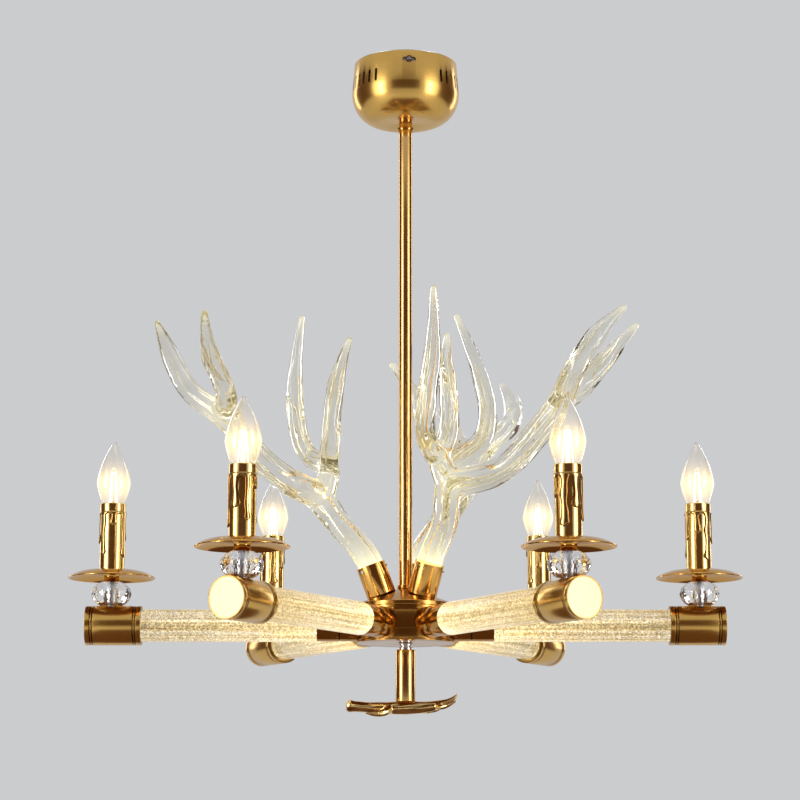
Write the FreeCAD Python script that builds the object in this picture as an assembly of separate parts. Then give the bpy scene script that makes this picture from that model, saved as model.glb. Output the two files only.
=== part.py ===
"""Antler chandelier: six candle arms of clear rod round a hub, and three clear antlers standing on it.

Millimetres, +Z up. The origin is on the axis at the ceiling plane, so the whole lamp hangs at negative Z.
-Y is the front, which a viewer sees between two arms, and +X is to the viewer's right.
"""

import math
import os

import FreeCAD, Part

Vec = FreeCAD.Vector
UP = Vec(0, 0, 1)
OUTWARD = Vec(1, 0, 0)
ORIGIN = Vec(0, 0, 0)

# --- Driving dimensions ------------------------------------------------------

# Whole lamp.
ARM_COUNT = 6
ANTLER_COUNT = 3
LAMP_RADIUS = 325.0
CANDLE_INSET = 25.0
ARM_AXIS_DROP = 595.0

# Clearances.
LOOSE = 0.3
THREAD_RUN = 0.4
SHELL_GAP = 0.5

# Threaded tubes and their nuts.
TUBE_RADIUS = 5.0
TUBE_BORE = 3.0
TUBE_NUT_FLATS = 14.0
TUBE_NUT_HEIGHT = 4.0
TIE_RADIUS = 4.0
TIE_BORE = 2.8
TIE_NUT_FLATS = 12.0
TIE_NUT_HEIGHT = 4.0
THREAD_TAIL = 1.5

# Ceiling bracket and canopy.
CANOPY_TURN = -86.0
CANOPY_REVEAL = 1.0
CANOPY_WALL = 1.2
CANOPY_RIM_RADIUS = 54.0
CANOPY_BELLY_SWELL = 2.5
CANOPY_FLOOR_INSET = 25.0
CANOPY_BELLY_DROP = 33.0
CANOPY_DEPTH = 65.0
BRACKET_PLATE = 2.0
BRACKET_TAB_WIDTH = 12.0
BRACKET_TAB_LENGTH = 16.0
CEILING_HOLE_SPACING = 65.0
CEILING_HOLE_RADIUS = 2.5
SIDE_SCREW_COUNT = 3
SIDE_SCREW_DROP = 11.0
SIDE_SCREW_RADIUS = 2.0
SIDE_SCREW_LENGTH = 9.0
SCREW_HEAD_RADIUS = 3.6
SCREW_HEAD_HEIGHT = 2.4
CROSS_WIDTH = 0.9
CROSS_SPAN = 4.0
CROSS_DEPTH = 1.2
KEYHOLE_SPAN = 14.0
VENTS_PER_GROUP = 6
VENT_PITCH = 9.0
VENT_WIDTH = 3.0
VENT_HEIGHT = 14.0
VENT_TOP_DROP = 18.0
DRIVER_SIZE = (60.0, 26.0, 22.0)
DRIVER_CORNER = 2.0
DRIVER_OFFSET = 13.0
TERMINAL_SIZE = (30.0, 18.0, 14.0)
TERMINAL_OFFSET = 15.0

# Down rod and its rings.
ROD_RADIUS = 7.0
ROD_THREAD_DEPTH = 20.0
COLLAR_RADIUS = 8.5
COLLAR_HEIGHT = 3.5
COLLAR_DROP = 4.5

# Hub.
DRUM_RADIUS = 47.0
DRUM_WALL = 4.0
DRUM_TOP = 17.3
DRUM_BOTTOM = -16.3
DRUM_FLANGE = 2.0
DRUM_UPPER_FLANGE_HEIGHT = 6.0
DRUM_LOWER_FLANGE_HEIGHT = 10.0
COVER_RADIUS = 50.0
COVER_RIM_HEIGHT = 4.3
COVER_SLOPE = 20.85
COVER_TOP_RADIUS = 8.0
COVER_WALL = 1.5
BASE_PLATE_RADIUS = 49.5
BASE_PLATE_THICKNESS = 1.7

# Arms: collar on the hub, clear rod, cap with a lit disc.
COLLAR_TUBE_RADIUS = 16.0
COLLAR_TUBE_WALL = 2.0
COLLAR_TUBE_END = 90.0
COLLAR_TUBE_GROOVE = 67.0
CRYSTAL_RADIUS = 16.5
CAP_LENGTH = 56.5
CAP_RADIUS = 20.0
CAP_WALL = 3.5
CAP_FLOOR = 2.0
CAP_GROOVE_INSET = 6.5
CAP_GROOVE_PITCH = 2.2
GROOVE_WIDTH = 1.0
GROOVE_DEPTH = 0.6
LENS_RADIUS = 18.8
LENS_THICKNESS = 4.0
BOARD_RADIUS = 18.0
BOARD_THICKNESS = 1.6
BOARD_INSET = 9.0

# Candle set on each cap.
BEAD_RADIUS = 20.5
BEAD_END_RADIUS = 11.0
BEAD_HEIGHT = 24.0
BEAD_GIRDLE = 7.0
BEAD_SIDES = 12
NECK_RADIUS = 10.0
NECK_WAIST = 7.5
NECK_HEIGHT = 10.1
PAN_RADIUS = 44.3
PAN_PLATEAU_RADIUS = 29.0
PAN_DROOP = 6.2
PAN_HALFWAY_DROOP = 2.07
PAN_WALL = 1.4
SLEEVE_RADIUS = 12.9
SLEEVE_WALL = 0.9
SLEEVE_HEIGHT = 68.9
SLEEVE_BAND_HEIGHT = 9.0
SLEEVE_BAND_STEP = 0.4
DRIP_COUNT = 7
DRIP_RADIUS = 2.6
DRIP_SWELL = 1.3
DRIP_SHORT = 14.0
DRIP_LONG = 50.0
DRIP_WAVE_STEP = 2.4
HOLDER_RADIUS = 11.0
HOLDER_FLOOR_HEIGHT = 7.0

# Candle bulb with its small screw cap.
BULB_LENGTH = 98.0
BULB_RADIUS = 17.5
BULB_WIDEST_HEIGHT = 54.4
BULB_WALL = 0.8
BULB_TIP_RADIUS = 2.2
BULB_TIP_ANGLES = (0, 45, 80)
BULB_SWELL = 0.62
BULB_CLOSE = 0.72
SCREW_CAP_RADIUS = 6.9
SCREW_CAP_LENGTH = 22.0
SCREW_CAP_TAPER = 4.5
CONTACT_RADIUS = 2.5
CONTACT_HEIGHT = 1.5
BULB_CAP_SINK = 11.1
BULB_NECK_RADIUS = 6.6
STEM_RADIUS = 3.0
STEM_LENGTH = 14.0
FILAMENT_RADIUS = 0.9
FILAMENT_LENGTH = 34.0
FILAMENT_CIRCLE = 5.0
FILAMENT_COUNT = 4

# Antler sockets.
SOCKET_AZIMUTH = 72.5
SOCKET_FOOT_RADIUS = 25.0
SOCKET_RADIUS = 15.0
SOCKET_WALL = 1.5
SOCKET_HEIGHT = 32.0
SOCKET_FLOOR = 2.0
SPIGOT_LENGTH = 7.0
SET_SCREW_COUNT = 3
SET_SCREW_RADIUS = 1.5
SET_SCREW_LENGTH = 2.8
SET_SCREW_INSET = 4.5
SET_SCREW_TURN = 35.0
ANTLER_SEAT_DEPTH = 12.0
ROOT_STEP = 0.4
ROOT_RISE = 2.0
SEAT_GAP = 0.1
ANTLER_LED_RADIUS = 12.0

# Turn of each antler about its own socket, in the order of the sockets.
ANTLER_TURNS = (-27.2, 1.3, 12.1)

# One casting makes all three antlers. Each limb is a list of (x, y, z, radius) from the socket's mouth,
# with z along the socket, chosen by hand to follow the photograph.
ANTLER_BEAM = (
    (14.4, -13.8, 57.1, 13.2),
    (19.3, -25.4, 82.1, 15.0),
    (43.9, -4.0, 102.7, 14.0),
    (76.5, 8.5, 148.7, 13.2),
    (94.9, 13.8, 193.5, 12.6),
    (112.3, -3.9, 226.6, 11.2),
    (121.3, 4.5, 264.7, 9.8),
    (129.0, 31.2, 299.5, 3.0),
)
ANTLER_BROW_TINE = (
    (19.3, -25.4, 82.1, 13.5),
    (-0.7, -30.5, 108.5, 11.5),
    (4.0, -66.2, 130.3, 10.4),
    (-4.7, -73.5, 195.8, 9.2),
    (-38.2, -56.1, 272.2, 3.0),
)
ANTLER_BACK_TINE = (
    (-0.7, -30.5, 108.5, 9.8),
    (-7.5, -13.7, 131.0, 10.2),
    (-33.5, -4.1, 188.1, 8.6),
    (-58.1, 14.3, 225.5, 2.8),
)
ANTLER_FORK_TINE = (
    (94.9, 13.8, 193.5, 10.0),
    (91.1, 45.9, 205.3, 10.6),
    (97.8, 71.4, 242.1, 9.4),
    (98.2, 112.4, 282.0, 3.0),
)
LIMB_STEPS = 3
TIP_ROUNDING = (0, 35, 65)

# Finial under the hub.
STUD_RADIUS = 3.0
STUD_BITE = 14.0
STUD_SINK = 6.0
NECK_RING_RADIUS = 7.0
NECK_RING_GROOVE = 1.4
NECK_RING_HEIGHTS = (2.4, 1.6, 2.7)
FINIAL_STEM_RADIUS = 10.0
FINIAL_STEM_LENGTH = 52.3
FINIAL_DEPTH = 3.0
FINIAL_BEAM = (
    (-60.0, 0.0, -1.0, 4.6),
    (-57.0, 0.2, -1.2, 6.6),
    (-52.0, 0.8, -1.6, 5.6),
    (-38.0, 2.0, -2.5, 5.4),
    (-20.0, 1.0, -3.0, 6.0),
    (0.0, 0.0, -3.2, 7.2),
    (22.0, -1.0, -2.0, 5.6),
    (38.0, -2.0, 1.0, 4.2),
    (47.0, -3.0, 5.0, 2.6),
    (52.0, -4.0, 9.5, 1.2),
)
FINIAL_TINES = (
    (
        (-14.0, 0.0, -3.0, 4.6),
        (-21.0, -8.0, -8.0, 3.8),
        (-31.0, -13.0, -10.0, 2.8),
        (-40.0, -15.0, -9.0, 1.0),
    ),
    (
        (12.0, 0.0, -3.0, 4.4),
        (20.0, 8.0, -5.0, 3.4),
        (31.0, 13.0, -4.0, 2.6),
        (42.0, 15.0, 0.0, 1.0),
    ),
    (
        (30.0, -1.0, -1.0, 3.6),
        (36.0, -9.0, -3.0, 2.8),
        (44.0, -14.0, -1.0, 1.9),
        (51.0, -16.0, 3.0, 0.9),
    ),
)

# --- Levels and radii worked out from the driving dimensions -----------------

ARM_Z = -ARM_AXIS_DROP
CANOPY_RIM_Z = -CANOPY_REVEAL
CANOPY_BELLY_Z = -CANOPY_BELLY_DROP
CANOPY_FLOOR_Z = -CANOPY_DEPTH
CANOPY_BELLY_RADIUS = CANOPY_RIM_RADIUS + CANOPY_BELLY_SWELL
CANOPY_FLOOR_RADIUS = CANOPY_RIM_RADIUS - CANOPY_FLOOR_INSET
BRACKET_RADIUS = CANOPY_RIM_RADIUS - CANOPY_WALL - SHELL_GAP
COVER_RIM_Z = ARM_Z + DRUM_TOP + COVER_RIM_HEIGHT
COVER_SLOPE_RAD = math.radians(COVER_SLOPE)
COVER_RISE = (COVER_RADIUS - COVER_TOP_RADIUS) * math.tan(COVER_SLOPE_RAD)
COVER_TOP_Z = COVER_RIM_Z + COVER_RISE
COVER_UNDER_DROP = COVER_WALL / math.cos(COVER_SLOPE_RAD)
BASE_PLATE_TOP_Z = ARM_Z + DRUM_BOTTOM
BASE_PLATE_Z = BASE_PLATE_TOP_Z - BASE_PLATE_THICKNESS
DRUM_INNER_RADIUS = DRUM_RADIUS - DRUM_WALL
CAP_INNER_RADIUS = CAP_RADIUS - CAP_WALL
CRYSTAL_END = LAMP_RADIUS - CAP_LENGTH
CANDLE_RADIUS = LAMP_RADIUS - CANDLE_INSET
BEAD_Z = ARM_Z + CAP_RADIUS
NECK_Z = BEAD_Z + BEAD_HEIGHT
PAN_UNDER_Z = NECK_Z + NECK_HEIGHT
PAN_TOP_Z = PAN_UNDER_Z + PAN_WALL
SLEEVE_Z = PAN_TOP_Z + LOOSE
SLEEVE_INNER_RADIUS = SLEEVE_RADIUS - SLEEVE_WALL
CAP_TOP_Z = SLEEVE_Z + SLEEVE_HEIGHT - BULB_CAP_SINK
BULB_Z = CAP_TOP_Z - SCREW_CAP_LENGTH
HOLDER_TOP_Z = CAP_TOP_Z - THREAD_RUN
SOCKET_TILT = COVER_SLOPE
NECK_RING_Z = BASE_PLATE_Z
FINIAL_STEM_Z = NECK_RING_Z - sum(NECK_RING_HEIGHTS)
FINIAL_Z = FINIAL_STEM_Z - FINIAL_STEM_LENGTH

# --- Shape helpers -----------------------------------------------------------


def cylinder(radius, length, base, axis=UP):
    return Part.makeCylinder(radius, length, base, axis)


def tube(outer, inner, length, base, axis=UP):
    """A straight pipe; its bore runs past both ends so that the cut is clean."""
    bore = cylinder(inner, length + 2, base - axis, axis)
    return cylinder(outer, length, base, axis).cut(bore)


def line(start, end):
    return Part.LineSegment(start, end).toShape()


def arc(start, middle, end):
    return Part.Arc(start, middle, end).toShape()


def polyline(points):
    """Straight edges through (radius, height) points, in the plane of X and Z."""
    corners = [Vec(radius, 0, height) for radius, height in points]
    return [line(start, end) for start, end in zip(corners, corners[1:])]


def spun(edges, axis_x=0.0):
    """The solid that a closed outline in the X-Z plane makes when it turns about a vertical axis."""
    face = Part.Face(Part.Wire(edges))
    return face.revolve(Vec(axis_x, 0, 0), UP, 360)


def spun_polygon(points):
    return spun(polyline(list(points) + [points[0]]))


def turned(shape, degrees, centre=ORIGIN, axis=UP):
    copy = shape.copy()
    copy.rotate(centre, axis, degrees)
    return copy


def moved(shape, offset):
    copy = shape.copy()
    copy.translate(offset)
    return copy


def corner_radius(flats):
    """Radius of a hexagon's corners from its width across flats."""
    return flats / math.sqrt(3)


def hexagon(flats, height, base, axis=UP, bore=0.0):
    """A hexagonal nut with its bore, its lower face at base."""
    radius = corner_radius(flats)
    corners = []
    for step in range(7):
        angle = math.pi / 3 * step
        corners.append(Vec(radius * math.cos(angle), radius * math.sin(angle), 0))
    blank = Part.Face(Part.makePolygon(corners)).extrude(Vec(0, 0, height))
    nut = blank.cut(cylinder(bore, height + 2, Vec(0, 0, -1)))
    nut.Placement = FreeCAD.Placement(base, FreeCAD.Rotation(UP, axis))
    return nut


def ring(centre, direction, radius):
    return Part.Wire(Part.Circle(centre, direction, radius).toShape())


def limb(stations):
    """A round tapering limb through (x, y, z, radius) stations, with a rounded tip."""
    points = [Vec(*station[:3]) for station in stations]
    radii = [station[3] for station in stations]
    curve = Part.BSplineCurve()
    curve.interpolate(points)
    knots = [curve.parameter(point) for point in points]
    rings = []
    for index in range(len(points) - 1):
        for step in range(LIMB_STEPS):
            share = step / LIMB_STEPS
            parameter = knots[index] + (knots[index + 1] - knots[index]) * share
            radius = radii[index] + (radii[index + 1] - radii[index]) * share
            rings.append(ring(curve.value(parameter), Vec(*curve.tangent(parameter)[0]), radius))
    tip_direction = Vec(*curve.tangent(knots[-1])[0])
    for degrees in TIP_ROUNDING:
        angle = math.radians(degrees)
        centre = points[-1] + tip_direction * (radii[-1] * math.sin(angle))
        rings.append(ring(centre, tip_direction, radii[-1] * math.cos(angle)))
    return Part.makeLoft(rings, True, True)


def export(name, *solids):
    shape = solids[0] if len(solids) == 1 else Part.makeCompound(list(solids))
    shape.exportStep(f"parts/{name}.step")


def on_each_arm(shape):
    """Copies of a shape modelled on the +X arm, one for every arm."""
    return [turned(shape, 360 / ARM_COUNT * index) for index in range(ARM_COUNT)]


def socket_placement(index):
    """The frame of one antler socket: its foot on the cover's slope, its Z along the socket."""
    azimuth = SOCKET_AZIMUTH + 360 / ANTLER_COUNT * index
    lean = FreeCAD.Rotation(Vec(0, 1, 0), SOCKET_TILT)
    swing = FreeCAD.Rotation(UP, azimuth)
    foot_z = COVER_RIM_Z + (COVER_RADIUS - SOCKET_FOOT_RADIUS) * math.tan(COVER_SLOPE_RAD)
    foot = swing.multVec(Vec(SOCKET_FOOT_RADIUS, 0, foot_z))
    return FreeCAD.Placement(foot, swing.multiply(lean))


def in_each_socket(shape):
    copies = []
    for index in range(ANTLER_COUNT):
        copy = shape.copy()
        copy.Placement = socket_placement(index).multiply(copy.Placement)
        copies.append(copy)
    return copies


# --- Ceiling group -----------------------------------------------------------


def side_screw_angles():
    return [CANOPY_TURN + 360 / SIDE_SCREW_COUNT * index for index in range(SIDE_SCREW_COUNT)]


def ceiling_bracket():
    """A steel disc with three tapped tabs, two ceiling holes and the hole for the threaded tube."""
    plate = cylinder(BRACKET_RADIUS, BRACKET_PLATE, Vec(0, 0, -BRACKET_PLATE))
    tab_x = BRACKET_RADIUS - BRACKET_PLATE
    for angle in side_screw_angles():
        tab = Part.makeBox(BRACKET_PLATE, BRACKET_TAB_WIDTH, BRACKET_TAB_LENGTH)
        tab_foot_z = -BRACKET_PLATE - BRACKET_TAB_LENGTH
        tab.translate(Vec(tab_x - SHELL_GAP / 2, -BRACKET_TAB_WIDTH / 2, tab_foot_z))
        thread_start = Vec(tab_x - BRACKET_PLATE, 0, -SIDE_SCREW_DROP)
        thread = cylinder(SIDE_SCREW_RADIUS, 4 * BRACKET_PLATE, thread_start, OUTWARD)
        plate = plate.fuse(turned(tab.cut(thread), angle))
    for side in (-1, 1):
        hole = Vec(side * CEILING_HOLE_SPACING / 2, 0, -2 * BRACKET_PLATE)
        plate = plate.cut(cylinder(CEILING_HOLE_RADIUS, 3 * BRACKET_PLATE, hole))
    return plate.cut(cylinder(TUBE_RADIUS, 3 * BRACKET_PLATE, Vec(0, 0, -2 * BRACKET_PLATE)))


def canopy_profile(inset):
    """Edges of the cup's outside, or of its inside when inset by the wall, from rim to floor."""
    belly_width = CANOPY_BELLY_RADIUS - CANOPY_FLOOR_RADIUS - inset
    belly_height = CANOPY_DEPTH - CANOPY_BELLY_DROP - inset
    diagonal = math.sqrt(0.5)
    rim = Vec(CANOPY_RIM_RADIUS - inset, 0, CANOPY_RIM_Z)
    belly = Vec(CANOPY_BELLY_RADIUS - inset, 0, CANOPY_BELLY_Z)
    shoulder_z = CANOPY_BELLY_Z - belly_height * diagonal
    shoulder = Vec(CANOPY_FLOOR_RADIUS + belly_width * diagonal, 0, shoulder_z)
    floor = Vec(CANOPY_FLOOR_RADIUS, 0, CANOPY_FLOOR_Z + inset)
    centre = Vec(TUBE_RADIUS + LOOSE, 0, CANOPY_FLOOR_Z + inset)
    return [line(rim, belly), arc(belly, shoulder, floor), line(floor, centre)], rim, centre


def keyhole(angle):
    """The slot that a side screw slides along, wider than the screw's head."""
    half = KEYHOLE_SPAN / 2 - SIDE_SCREW_RADIUS
    width = 2 * (SIDE_SCREW_RADIUS + LOOSE)
    depth = CANOPY_BELLY_RADIUS - BRACKET_RADIUS + 2
    corner = Vec(BRACKET_RADIUS, -half, -SIDE_SCREW_DROP - width / 2)
    slot = Part.makeBox(depth, 2 * half, width, corner)
    for side in (-1, 1):
        end = cylinder(width / 2, depth, Vec(BRACKET_RADIUS, side * half, -SIDE_SCREW_DROP), OUTWARD)
        slot = slot.fuse(end)
    return turned(slot, angle)


def vent(angle):
    """One upright slot with round ends, through the cup's wall."""
    low = -VENT_TOP_DROP - VENT_HEIGHT + VENT_WIDTH / 2
    high = -VENT_TOP_DROP - VENT_WIDTH / 2
    start = CANOPY_RIM_RADIUS - 3 * CANOPY_WALL
    depth = CANOPY_BELLY_RADIUS - start + 2
    slot = Part.makeBox(depth, VENT_WIDTH, high - low, Vec(start, -VENT_WIDTH / 2, low))
    for height in (low, high):
        slot = slot.fuse(cylinder(VENT_WIDTH / 2, depth, Vec(start, 0, height), OUTWARD))
    return turned(slot, angle)


def canopy_shell():
    outside, outer_rim, outer_centre = canopy_profile(0)
    inside, inner_rim, inner_centre = canopy_profile(CANOPY_WALL)
    closing = [line(outer_centre, inner_centre), line(inner_rim, outer_rim)]
    shell = spun(Part.__sortEdges__(outside + inside + closing))
    openings = []
    for angle in side_screw_angles():
        openings += [keyhole(angle), turned(screw_head(), angle)]
        for index in range(VENTS_PER_GROUP):
            offset = (index - (VENTS_PER_GROUP - 1) / 2) * VENT_PITCH
            openings.append(vent(angle + 180 / SIDE_SCREW_COUNT + offset))
    return shell.cut(openings)


def screw_head():
    seat = Vec(CANOPY_RIM_RADIUS, 0, -SIDE_SCREW_DROP)
    return cylinder(SCREW_HEAD_RADIUS, SCREW_HEAD_HEIGHT, seat, OUTWARD)


def side_screw():
    """A pan head with a cross recess on a threaded shank that ends behind the bracket's tab."""
    shank_start = CANOPY_RIM_RADIUS - SIDE_SCREW_LENGTH
    shank_base = Vec(shank_start, 0, -SIDE_SCREW_DROP)
    shank = cylinder(SIDE_SCREW_RADIUS, SIDE_SCREW_LENGTH, shank_base, OUTWARD)
    screw = shank.fuse(screw_head())
    face_x = CANOPY_RIM_RADIUS + SCREW_HEAD_HEIGHT - CROSS_DEPTH
    for wide, tall in ((CROSS_SPAN, CROSS_WIDTH), (CROSS_WIDTH, CROSS_SPAN)):
        corner = Vec(face_x, -wide / 2, -SIDE_SCREW_DROP - tall / 2)
        screw = screw.cut(Part.makeBox(2 * CROSS_DEPTH, wide, tall, corner))
    return screw


def driver_box(size, near_edge_y):
    length, width, height = size
    return Part.makeBox(length, width, height, Vec(-length / 2, near_edge_y, -BRACKET_PLATE - height))


def make_ceiling_group():
    export("ceiling_bracket", ceiling_bracket())
    export("canopy_shell", canopy_shell())
    export("canopy_side_screws", *[turned(side_screw(), angle) for angle in side_screw_angles()])
    driver = driver_box(DRIVER_SIZE, DRIVER_OFFSET)
    uprights = [edge for edge in driver.Edges if edge.BoundBox.ZLength > DRIVER_SIZE[2] / 2]
    export("led_driver", driver.makeFillet(DRIVER_CORNER, uprights))
    export("terminal_block", driver_box(TERMINAL_SIZE, -TERMINAL_OFFSET - TERMINAL_SIZE[1]))
    length = CANOPY_DEPTH + ROD_THREAD_DEPTH
    export("canopy_tube", tube(TUBE_RADIUS, TUBE_BORE, length, Vec(0, 0, -length)))


# --- Down rod ----------------------------------------------------------------


def make_down_rod():
    rod_length = CANOPY_FLOOR_Z - COVER_TOP_Z
    export("down_rod", tube(ROD_RADIUS, TUBE_RADIUS, rod_length, Vec(0, 0, COVER_TOP_Z)))
    upper_ring_z = CANOPY_FLOOR_Z - COLLAR_DROP - COLLAR_HEIGHT
    rings = []
    for base_z in (upper_ring_z, COVER_TOP_Z):
        rings.append(tube(COLLAR_RADIUS, ROD_RADIUS, COLLAR_HEIGHT, Vec(0, 0, base_z)))
    export("rod_rings", *rings)


# --- Hub ---------------------------------------------------------------------


def hub_drum():
    """A ring with a flange at each end and a hole for every arm's tie tube."""
    top = ARM_Z + DRUM_TOP
    bottom = ARM_Z + DRUM_BOTTOM
    flange = DRUM_RADIUS + DRUM_FLANGE
    drum = spun_polygon(
        (
            (DRUM_INNER_RADIUS, bottom),
            (flange, bottom),
            (flange, bottom + DRUM_LOWER_FLANGE_HEIGHT),
            (DRUM_RADIUS, bottom + DRUM_LOWER_FLANGE_HEIGHT),
            (DRUM_RADIUS, top - DRUM_UPPER_FLANGE_HEIGHT),
            (flange, top - DRUM_UPPER_FLANGE_HEIGHT),
            (flange, top),
            (DRUM_INNER_RADIUS, top),
        )
    )
    hole = cylinder(TIE_RADIUS, 4 * DRUM_WALL, Vec(DRUM_INNER_RADIUS - DRUM_WALL, 0, ARM_Z), OUTWARD)
    for drill in on_each_arm(hole):
        drum = drum.cut(drill)
    return drum


def drum_envelope():
    """The drum's outside as a full solid, used to cope the arm collars to it."""
    height = DRUM_TOP - DRUM_BOTTOM
    base = Vec(0, 0, ARM_Z + DRUM_BOTTOM)
    flange = DRUM_RADIUS + DRUM_FLANGE
    core = cylinder(DRUM_RADIUS, height, base)
    lower = cylinder(flange, DRUM_LOWER_FLANGE_HEIGHT, base)
    upper_z = ARM_Z + DRUM_TOP - DRUM_UPPER_FLANGE_HEIGHT
    upper = cylinder(flange, DRUM_UPPER_FLANGE_HEIGHT, Vec(0, 0, upper_z))
    return core.fuse(lower).fuse(upper)


def hub_cover():
    """A thin cone with an upright rim, holed for the threaded tube and the three sockets' spigots."""
    rim_z = ARM_Z + DRUM_TOP
    under_z = COVER_TOP_Z - COVER_UNDER_DROP
    inner_rim = COVER_RADIUS - COVER_WALL
    under_rise = (inner_rim - COVER_TOP_RADIUS) * math.tan(COVER_SLOPE_RAD)
    cover = spun_polygon(
        (
            (TUBE_RADIUS, COVER_TOP_Z),
            (COVER_TOP_RADIUS, COVER_TOP_Z),
            (COVER_RADIUS, COVER_RIM_Z),
            (COVER_RADIUS, rim_z),
            (inner_rim, rim_z),
            (inner_rim, under_z - under_rise),
            (COVER_TOP_RADIUS, under_z),
            (TUBE_RADIUS, under_z),
        )
    )
    reach = 3 * COVER_WALL
    for hole in in_each_socket(cylinder(TUBE_RADIUS, 2 * reach, Vec(0, 0, -reach))):
        cover = cover.cut(hole)
    return cover


def make_hub():
    export("hub_drum", hub_drum())
    export("hub_cover", hub_cover())
    base = Vec(0, 0, BASE_PLATE_Z)
    export("hub_base_plate", tube(BASE_PLATE_RADIUS, STUD_RADIUS, BASE_PLATE_THICKNESS, base))
    tube_top = COVER_TOP_Z + ROD_THREAD_DEPTH
    hub_tube = tube(TUBE_RADIUS, TUBE_BORE, tube_top - BASE_PLATE_TOP_Z, Vec(0, 0, BASE_PLATE_TOP_Z))
    export("hub_tube", hub_tube)


def tube_nut(base):
    return hexagon(TUBE_NUT_FLATS, TUBE_NUT_HEIGHT, base, UP, TUBE_RADIUS)


def tube_nuts():
    """The nuts on every large threaded tube: canopy, hub, sockets and candle sets."""
    nut_radius = corner_radius(TUBE_NUT_FLATS)
    cover_under_z = COVER_TOP_Z - COVER_UNDER_DROP
    cover_drop = max(0.0, nut_radius - COVER_TOP_RADIUS) * math.tan(COVER_SLOPE_RAD)
    heights = (
        -BRACKET_PLATE - TUBE_NUT_HEIGHT,
        CANOPY_FLOOR_Z + CANOPY_WALL,
        cover_under_z - cover_drop - TUBE_NUT_HEIGHT,
        BASE_PLATE_TOP_Z,
    )
    nuts = [tube_nut(Vec(0, 0, height)) for height in heights]
    cone_hollow = nut_radius**2 / 2 / SOCKET_FOOT_RADIUS * math.sin(COVER_SLOPE_RAD)
    nuts += in_each_socket(tube_nut(Vec(0, 0, -COVER_WALL - cone_hollow - TUBE_NUT_HEIGHT)))
    cap_roof = math.sqrt(CAP_INNER_RADIUS**2 - nut_radius**2)
    nuts += on_each_arm(tube_nut(Vec(CANDLE_RADIUS, 0, ARM_Z + cap_roof - TUBE_NUT_HEIGHT)))
    return nuts


# --- Antlers and their sockets -----------------------------------------------


def antler_socket():
    """A brass cup with a threaded spigot under its floor, in its own frame."""
    cup = cylinder(SOCKET_RADIUS, SOCKET_HEIGHT, ORIGIN)
    bore = SOCKET_RADIUS - SOCKET_WALL
    cup = cup.cut(cylinder(bore, SOCKET_HEIGHT, Vec(0, 0, SOCKET_FLOOR)))
    cup = cup.fuse(cylinder(TUBE_RADIUS, SPIGOT_LENGTH, Vec(0, 0, -SPIGOT_LENGTH)))
    cup = cup.cut(cylinder(TUBE_BORE, SPIGOT_LENGTH + 2 * SOCKET_FLOOR, Vec(0, 0, -SPIGOT_LENGTH)))
    for screw_axis in set_screw_axes():
        cup = cup.cut(cylinder(SET_SCREW_RADIUS, SOCKET_RADIUS, set_screw_start(0), screw_axis))
    return cup


def set_screw_axes():
    axes = []
    for index in range(SET_SCREW_COUNT):
        angle = math.radians(SET_SCREW_TURN + 360 / SET_SCREW_COUNT * index)
        axes.append(Vec(math.cos(angle), math.sin(angle), 0))
    return axes


def set_screw_start(radius, axis=ORIGIN):
    return Vec(0, 0, SOCKET_HEIGHT - SET_SCREW_INSET) + axis * radius


def antler_casting():
    """The clear casting, with its round seat inside the socket, in the frame of the socket's mouth."""
    seat_radius = SOCKET_RADIUS - SOCKET_WALL - SEAT_GAP
    root_radius = seat_radius - ROOT_STEP
    roots = ((0.0, 0.0, -ANTLER_SEAT_DEPTH / 2, root_radius), (0.0, 0.0, ROOT_RISE, root_radius))
    tines = [limb(tine) for tine in (ANTLER_BROW_TINE, ANTLER_BACK_TINE, ANTLER_FORK_TINE)]
    seat = cylinder(seat_radius, ANTLER_SEAT_DEPTH, Vec(0, 0, -ANTLER_SEAT_DEPTH))
    return limb(roots + ANTLER_BEAM).fuse(tines + [seat])


def make_antlers():
    sockets = in_each_socket(antler_socket())
    screws = []
    for axis in set_screw_axes():
        start = set_screw_start(SOCKET_RADIUS - SOCKET_WALL - SEAT_GAP, axis)
        screws += in_each_socket(cylinder(SET_SCREW_RADIUS, SET_SCREW_LENGTH, start, axis))
    board = cylinder(ANTLER_LED_RADIUS, BOARD_THICKNESS, Vec(0, 0, SOCKET_FLOOR))
    casting = antler_casting()
    for index in range(ANTLER_COUNT):
        antler = turned(casting, ANTLER_TURNS[index])
        lifted = FreeCAD.Placement(Vec(0, 0, SOCKET_HEIGHT), FreeCAD.Rotation())
        antler.Placement = socket_placement(index).multiply(lifted).multiply(antler.Placement)
        export(f"antler_{index + 1}", antler)
    export("antler_sockets", *sockets)
    export("antler_set_screws", *screws)
    export("antler_led_boards", *in_each_socket(board))


# --- Arms --------------------------------------------------------------------


def ring_groove(radius, position):
    """A shallow ring cut round a part on the arm's axis."""
    start = Vec(position - GROOVE_WIDTH / 2, 0, ARM_Z)
    return tube(radius + 1, radius - GROOVE_DEPTH, GROOVE_WIDTH, start, OUTWARD)


def arm_collar():
    inner = COLLAR_TUBE_RADIUS - COLLAR_TUBE_WALL
    start = Vec(DRUM_INNER_RADIUS, 0, ARM_Z)
    collar = tube(COLLAR_TUBE_RADIUS, inner, COLLAR_TUBE_END - DRUM_INNER_RADIUS, start, OUTWARD)
    collar = collar.cut(ring_groove(COLLAR_TUBE_RADIUS, COLLAR_TUBE_GROOVE))
    return collar.cut(drum_envelope())


def arm_board():
    """The ring of lamps at the collar's mouth, which lights the clear rod."""
    start = Vec(COLLAR_TUBE_END - BOARD_THICKNESS, 0, ARM_Z)
    return tube(COLLAR_TUBE_RADIUS - COLLAR_TUBE_WALL, TIE_RADIUS, BOARD_THICKNESS, start, OUTWARD)


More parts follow.
